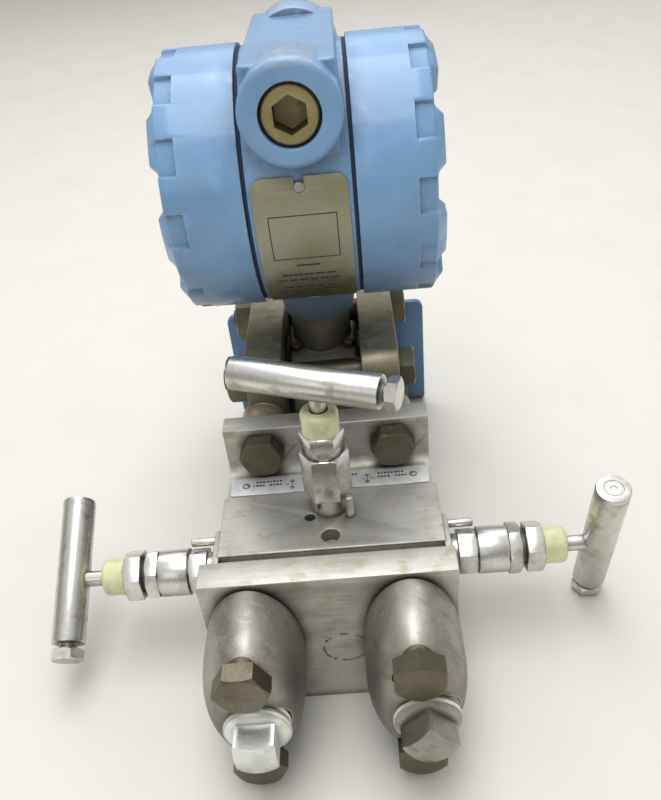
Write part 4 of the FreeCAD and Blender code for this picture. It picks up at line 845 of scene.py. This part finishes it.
def build_rivets(node):
    """Domed rivets: upright on the label, and square to the curve of the nameplate."""
    form, steps, plate_radius = Form(), 8, 49.03 * MM
    for low, high in islands(node):
        middle = (low + high) / 2
        if node == "label_rivets":
            axis, seat, radius, dome = Z, Vector((middle.x, middle.y, low.z)), 1.6 * MM, high.z - low.z
        else:
            axis = (Vector((0, middle.y, middle.z)) - housing_axis()).normalized()
            seat = Vector((middle.x, 0, 0)) + housing_axis() + axis * plate_radius
            radius, dome = 2.1 * MM, 0.85 * MM
        form.at(seat, axis)
        profile = [(0, -0.6 * MM), (radius * 0.5, -0.6 * MM), (radius * 0.5, 0), (radius, 0)]
        for k in range(1, steps + 1):
            lean = math.pi / 2 * k / steps
            profile.append((radius * math.cos(lean) ** 0.7 if k < steps else 0, dome * math.sin(lean)))
        form.lathe(profile, 40)
    form.piece(node + "_domed", node, slot="rivet_aluminium", replaces=(node,), crease=60)


# marks of the label, in mm from its middle, mirrored: a valve symbol on a line, with two ringed ends
LABEL_LINE, LABEL_VALVE, LABEL_RING_LEVELS = ((13.5, 14.6), (16.4, 18.4)), 15.4, (-2.6, 1.4)
# rows of dashes beside it: first dash, how many, and level; and the widths they take in turn
LABEL_DASHES = ((20.2, 5, 2.1), (20.2, 4, -0.1), (27.2, 3, 2.1), (27.2, 4, -0.1), (9.6, 2, 2.6))
DASH_WIDTHS = (0.95, 0.7, 1.1, 0.8, 1.0)


def build_label_marks():
    """Plain printed marks and valve symbols on the label plate."""
    low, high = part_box("label_plate")
    sunk, proud, ink = high.z - 0.02 * MM, high.z + 0.015 * MM, 0.018 * MM
    ring_inner, ring_outer, dash_step, dash_long = 0.45 * MM, 0.85 * MM, 1.35, 1.05
    line = (low.y + high.y) / 2 / MM
    form = Form()

    def mark(x, y, wide, long):
        form.slab(((x - wide / 2) * MM, (y - long / 2) * MM, sunk),
                  ((x + wide / 2) * MM, (y + long / 2) * MM, proud))

    for way in (-1, 1):
        for start, stop in LABEL_LINE:
            mark(way * (start + stop) / 2, line - 0.6, stop - start, 0.3)
        mark(way * LABEL_VALVE, line - 0.6, 0.3, 4.6)
        for level in LABEL_RING_LEVELS:
            form.at(Vector((way * LABEL_VALVE * MM, (line + level) * MM, (sunk + proud) / 2)))
            form.ring([(ring_inner, -ink), (ring_outer, -ink), (ring_outer, ink), (ring_inner, ink)], 28)
            form.at(Vector((0, 0, 0)))
        for row, (first, count, level) in enumerate(LABEL_DASHES):
            for k in range(count):
                mark(way * (first + k * dash_step), line + level, DASH_WIDTHS[(k + row) % 5], dash_long)
    form.piece("label_marks", "label_plate", slot="print_black")


# ruled lines of the nameplate: from and to along the axis in mm, from and to round it in degrees
NAMEPLATE_RULES = ((-12.5, 12.5, 3.0, 2.5), (-12.5, 12.5, -17.5, -18.0), (-12.5, -12.1, 3.0, -18.0),
                   (12.1, 12.5, 3.0, -18.0), (-4.4, 4.4, -21.4, -22.4))
# rows of dashes under them: degrees round the axis, half length in mm, and how many dashes
NAMEPLATE_ROWS = ((-27.5, 10.5, 5), (-31.5, 12.0, 6), (-38.0, 10.0, 5), (-42.0, 12.2, 6), (-46.5, 7.0, 3),
                  (-50.5, 9.0, 5), (-55.0, 5.5, 3))


def build_nameplate_marks():
    """Ruled frame and dashes on the nameplate's own curve."""
    form = Form().at(housing_axis())
    inner, outer, dash_degrees = 49.0 * MM, 49.05 * MM, 1.1

    def curved(start, stop, first, last):
        """Thin slab between two places along the axis, and between two turns round it."""
        steps = max(1, round(abs(last - first) / 2))
        rows = []
        for k in range(steps + 1):
            lean = math.radians(first + (last - first) * k / steps)
            rows.append([(x * MM, -r * math.cos(lean), r * math.sin(lean))
                         for x, r in ((start, inner), (stop, inner), (stop, outer), (start, outer))])
        form.tube(rows)

    for rule in NAMEPLATE_RULES:
        curved(*rule)
    for row, (lean, half, count) in enumerate(NAMEPLATE_ROWS):
        step = 2 * half / count
        for k in range(count):
            gap = 0.55 + 0.35 * ((k * 3 + row) % 3)
            curved(-half + k * step, -half + (k + 1) * step - gap, lean, lean - dash_degrees)
    form.piece("nameplate_marks", "nameplate", slot="print_black")


def build_labels(sizes):
    """Label plate, nameplate, their plain printed marks and their rivets."""
    soften("label_plate", sizes.sheet_edge, segments=2)
    soften("nameplate", sizes.sheet_edge, segments=2)
    build_rivets("label_rivets")
    build_rivets("nameplate_rivets")
    build_label_marks()
    build_nameplate_marks()


def build_inside(sizes):
    """Terminals and circuit boards behind the covers."""
    soften("terminal_block", 0.3 * MM, segments=2)
    dress("terminal_screws", "amplifier_board", "calibration_board", "board_posts")


# ---------------------------------------------------------------- studio
def aim_camera():
    """Camera over the process side, looking down on the manifold."""
    yaw, pitch, roll = math.radians(2.55), math.radians(-38.26), math.radians(-6.12)
    turn = Matrix.Rotation(yaw, 3, "Z") @ Matrix.Rotation(pitch, 3, "X")
    right, forward, up = turn @ X, turn @ Y, turn @ Z
    right, up = (right * math.cos(roll) + up * math.sin(roll), up * math.cos(roll) - right * math.sin(roll))
    data = bpy.data.cameras.new("camera")
    data.sensor_fit, data.sensor_height, data.lens = "VERTICAL", 36, 36.54
    data.shift_x, data.shift_y = -0.0134, 0.0645
    data.clip_start = 0.01
    camera = bpy.data.objects.new("camera", data)
    columns = Matrix((right, up, -forward)).transposed().to_4x4()
    camera.matrix_world = Matrix.Translation((17.32 * MM, -270.11 * MM, 258.38 * MM)) @ columns
    bpy.context.scene.collection.objects.link(camera)
    bpy.context.scene.camera = camera


# soft lamps: name, place and target in metres, width and depth, watts and colour
LAMPS = (("overhead", (-0.03, 0.0, 0.92), (0, 0.0, 0.08), (0.95, 0.42), 4.3, (1.0, 0.995, 0.975)),
         ("ceiling", (0, 0.85, 1.05), (0, 0.0, 0.06), (2.0, 1.1), 6.4, (1.0, 1.0, 0.99)),
         ("front_fill", (-0.35, -0.95, 0.62), (0, 0, 0.08), (0.6, 0.45), 0.7, (0.96, 0.98, 1.0)))
# tones of the room's light by height, from level or below to overhead
ROOM_FOOT, ROOM_TOP = (0.0, (0.090, 0.085, 0.072, 1)), (0.95, (0.80, 0.81, 0.83, 1))
ROOM_BETWEEN = ((0.30, (0.130, 0.126, 0.115, 1)), (0.62, (0.62, 0.62, 0.61, 1)))


def soft_lamp(name, place, target, size, power, colour):
    data = bpy.data.lights.new(name, "AREA")
    data.shape, data.size, data.size_y, data.energy, data.color = "RECTANGLE", size[0], size[1], power, colour
    lamp = bpy.data.objects.new(name, data)
    lamp.location = place
    lamp.rotation_euler = (Vector(target) - Vector(place)).to_track_quat("-Z", "Y").to_euler()
    bpy.context.scene.collection.objects.link(lamp)


def light_room(scene):
    """World that is dim low down and pale overhead, the same for every ray."""
    world = bpy.data.worlds.new("room")
    world.use_nodes = True
    scene.world = world
    tree = world.node_tree
    back = tree.nodes["Background"]
    coord = tree.nodes.new("ShaderNodeTexCoord")
    split = tree.nodes.new("ShaderNodeSeparateXYZ")
    tree.links.new(coord.outputs["Generated"], split.inputs[0])
    ramp = tree.nodes.new("ShaderNodeValToRGB")
    tree.links.new(split.outputs["Z"], ramp.inputs[0])
    stops = ramp.color_ramp.elements
    for stop, (level, tone) in zip(stops, (ROOM_FOOT, ROOM_TOP)):
        stop.position, stop.color = level, tone
    for level, tone in ROOM_BETWEEN:
        stops.new(level).color = tone
    tree.links.new(ramp.outputs[0], back.inputs["Color"])
    back.inputs["Strength"].default_value = 1.0


def build_floor(scene, colour):
    """Round floor that curves up into a low wall; sizes in metres."""
    flat, cove, wall_top, cove_steps, around = 2.0, 0.6, 1.5, 12, circle(96)
    profile = [(flat * part, 0.0) for part in (0.25, 0.6, 1.0)]
    for k in range(1, cove_steps + 1):
        lean = math.pi / 2 * k / cove_steps
        profile.append((flat + cove * math.sin(lean), cove * (1 - math.cos(lean))))
    profile.append((flat + cove, wall_top))
    form = bmesh.new()
    rings = [[form.verts.new((reach * x, reach * y, z)) for x, y in around] for reach, z in profile]
    form.faces.new(rings[0])
    for low, high in zip(rings, rings[1:]):
        for k in range(len(around)):
            form.faces.new((low[k], high[k], high[k - 1], low[k - 1]))
    bmesh.ops.recalc_face_normals(form, faces=form.faces[:])
    mesh = taken_mesh("studio_floor", form)
    for polygon in mesh.polygons:
        polygon.use_smooth = True
    made = Shader("studio_floor", colour, 0.6)
    made.paint(made.spots(60, 0.4, 0.7), scaled(colour, 0.97))
    mesh.materials.append(made.done())
    floor = bpy.data.objects.new("studio_floor", mesh)
    scene.collection.objects.link(floor)


def build_studio(colours):
    """Camera, lamps, room light and floor."""
    scene = bpy.context.scene
    scene.view_settings.view_transform = "Standard"
    aim_camera()
    for lamp in LAMPS:
        soft_lamp(*lamp)
    light_room(scene)
    build_floor(scene, tuple(colours.floor))


# ---------------------------------------------------------------- operators
class TRANSMITTER_OT_finishes(bpy.types.Operator):
    """Make the finish of every material slot."""
    bl_idname = "transmitter.finishes"
    bl_label = "Finishes"

    def execute(self, context):
        FINISHES.update(build_finishes(context.scene.transmitter_colours))
        return {"FINISHED"}


class TRANSMITTER_OT_studio(bpy.types.Operator):
    """Put up the floor, lamps and camera."""
    bl_idname = "transmitter.studio"
    bl_label = "Studio"

    def execute(self, context):
        build_studio(context.scene.transmitter_colours)
        return {"FINISHED"}


class TRANSMITTER_OT_manifold(bpy.types.Operator):
    """Milled valve block with its flanges, and the worn ink ring on the front one."""
    bl_idname = "transmitter.manifold"
    bl_label = "Manifold"

    def execute(self, context):
        build_manifold(context.scene.transmitter_sizes)
        return {"FINISHED"}


class TRANSMITTER_OT_labels(bpy.types.Operator):
    """Label plate, nameplate, their plain printed marks and their rivets."""
    bl_idname = "transmitter.labels"
    bl_label = "Labels"

    def execute(self, context):
        build_labels(context.scene.transmitter_sizes)
        return {"FINISHED"}


class TRANSMITTER_OT_bolts(bpy.types.Operator):
    """Manifold, body, adapter and bracket bolts, and the nuts on the body bolts."""
    bl_idname = "transmitter.bolts"
    bl_label = "Bolts and nuts"

    def execute(self, context):
        build_bolts(context.scene.transmitter_sizes)
        return {"FINISHED"}


class TRANSMITTER_OT_flanges(bpy.types.Operator):
    """Process flanges, the sensor module between them, and its fill plugs."""
    bl_idname = "transmitter.flanges"
    bl_label = "Process flanges"

    def execute(self, context):
        build_flanges(context.scene.transmitter_sizes)
        return {"FINISHED"}


class TRANSMITTER_OT_adapters(bpy.types.Operator):
    """Domed oval flange adapters with spot faces under their bolts."""
    bl_idname = "transmitter.adapters"
    bl_label = "Flange adapters"

    def execute(self, context):
        build_adapters(context.scene.transmitter_sizes)
        return {"FINISHED"}


class TRANSMITTER_OT_plugs(bpy.types.Operator):
    """Square-headed pipe plugs and the frayed thread tape round them."""
    bl_idname = "transmitter.plugs"
    bl_label = "Pipe plugs"

    def execute(self, context):
        build_plugs(context.scene.transmitter_sizes)
        return {"FINISHED"}


class TRANSMITTER_OT_valve_heads(bpy.types.Operator):
    """Bonnets, gland nuts, lock nuts and caps."""
    bl_idname = "transmitter.valve_heads"
    bl_label = "Valve heads"

    def execute(self, context):
        build_valve_heads(context.scene.transmitter_sizes)
        return {"FINISHED"}


class TRANSMITTER_OT_handles(bpy.types.Operator):
    """T-bars with turned end rings, and the hex screws that hold them."""
    bl_idname = "transmitter.handles"
    bl_label = "Handles"

    def execute(self, context):
        build_handles(context.scene.transmitter_sizes)
        return {"FINISHED"}


class TRANSMITTER_OT_housing(bpy.types.Operator):
    """Housing casting with its seals and the conduit plug."""
    bl_idname = "transmitter.housing"
    bl_label = "Housing"

    def execute(self, context):
        build_housing(context.scene.transmitter_sizes)
        return {"FINISHED"}


class TRANSMITTER_OT_covers(bpy.types.Operator):
    """Screwed covers: notches round the rim, and lugs cast on the end for a spanner."""
    bl_idname = "transmitter.covers"
    bl_label = "Covers"

    def execute(self, context):
        build_covers(context.scene.transmitter_sizes)
        return {"FINISHED"}


class TRANSMITTER_OT_inside(bpy.types.Operator):
    """Terminals and circuit boards behind the covers."""
    bl_idname = "transmitter.inside"
    bl_label = "Boards and terminals"

    def execute(self, context):
        build_inside(context.scene.transmitter_sizes)
        return {"FINISHED"}


class TRANSMITTER_OT_bracket(bpy.types.Operator):
    """Bent mounting bracket."""
    bl_idname = "transmitter.bracket"
    bl_label = "Bracket"

    def execute(self, context):
        build_bracket(context.scene.transmitter_sizes)
        return {"FINISHED"}


STEPS = (TRANSMITTER_OT_finishes, TRANSMITTER_OT_studio, TRANSMITTER_OT_manifold,
         TRANSMITTER_OT_labels, TRANSMITTER_OT_bolts, TRANSMITTER_OT_flanges,
         TRANSMITTER_OT_adapters, TRANSMITTER_OT_plugs, TRANSMITTER_OT_valve_heads,
         TRANSMITTER_OT_handles, TRANSMITTER_OT_housing, TRANSMITTER_OT_covers,
         TRANSMITTER_OT_inside, TRANSMITTER_OT_bracket)


class TRANSMITTER_PT_panel(bpy.types.Panel):
    """Sizes, colours and the steps that build the pieces."""
    bl_idname = "TRANSMITTER_PT_panel"
    bl_label = "Transmitter"
    bl_space_type = "VIEW_3D"
    bl_region_type = "UI"
    bl_category = "Transmitter"

    def draw(self, context):
        for group in (context.scene.transmitter_sizes, context.scene.transmitter_colours):
            column = self.layout.column(align=True)
            for name in group.__annotations__:
                column.prop(group, name)
        for step in STEPS:
            self.layout.operator(step.bl_idname)


CLASSES = (TransmitterSizes, TransmitterColours) + STEPS + (TRANSMITTER_PT_panel,)


def register():
    for cls in CLASSES:
        bpy.utils.register_class(cls)
    bpy.types.Scene.transmitter_sizes = bpy.props.PointerProperty(type=TransmitterSizes)
    bpy.types.Scene.transmitter_colours = bpy.props.PointerProperty(type=TransmitterColours)


def unregister():
    del bpy.types.Scene.transmitter_sizes
    del bpy.types.Scene.transmitter_colours
    for cls in reversed(CLASSES):
        bpy.utils.unregister_class(cls)


def main():
    register()
    for step in STEPS:
        getattr(bpy.ops.transmitter, step.bl_idname.split(".")[1])()


if __name__ == "__main__":
    main()
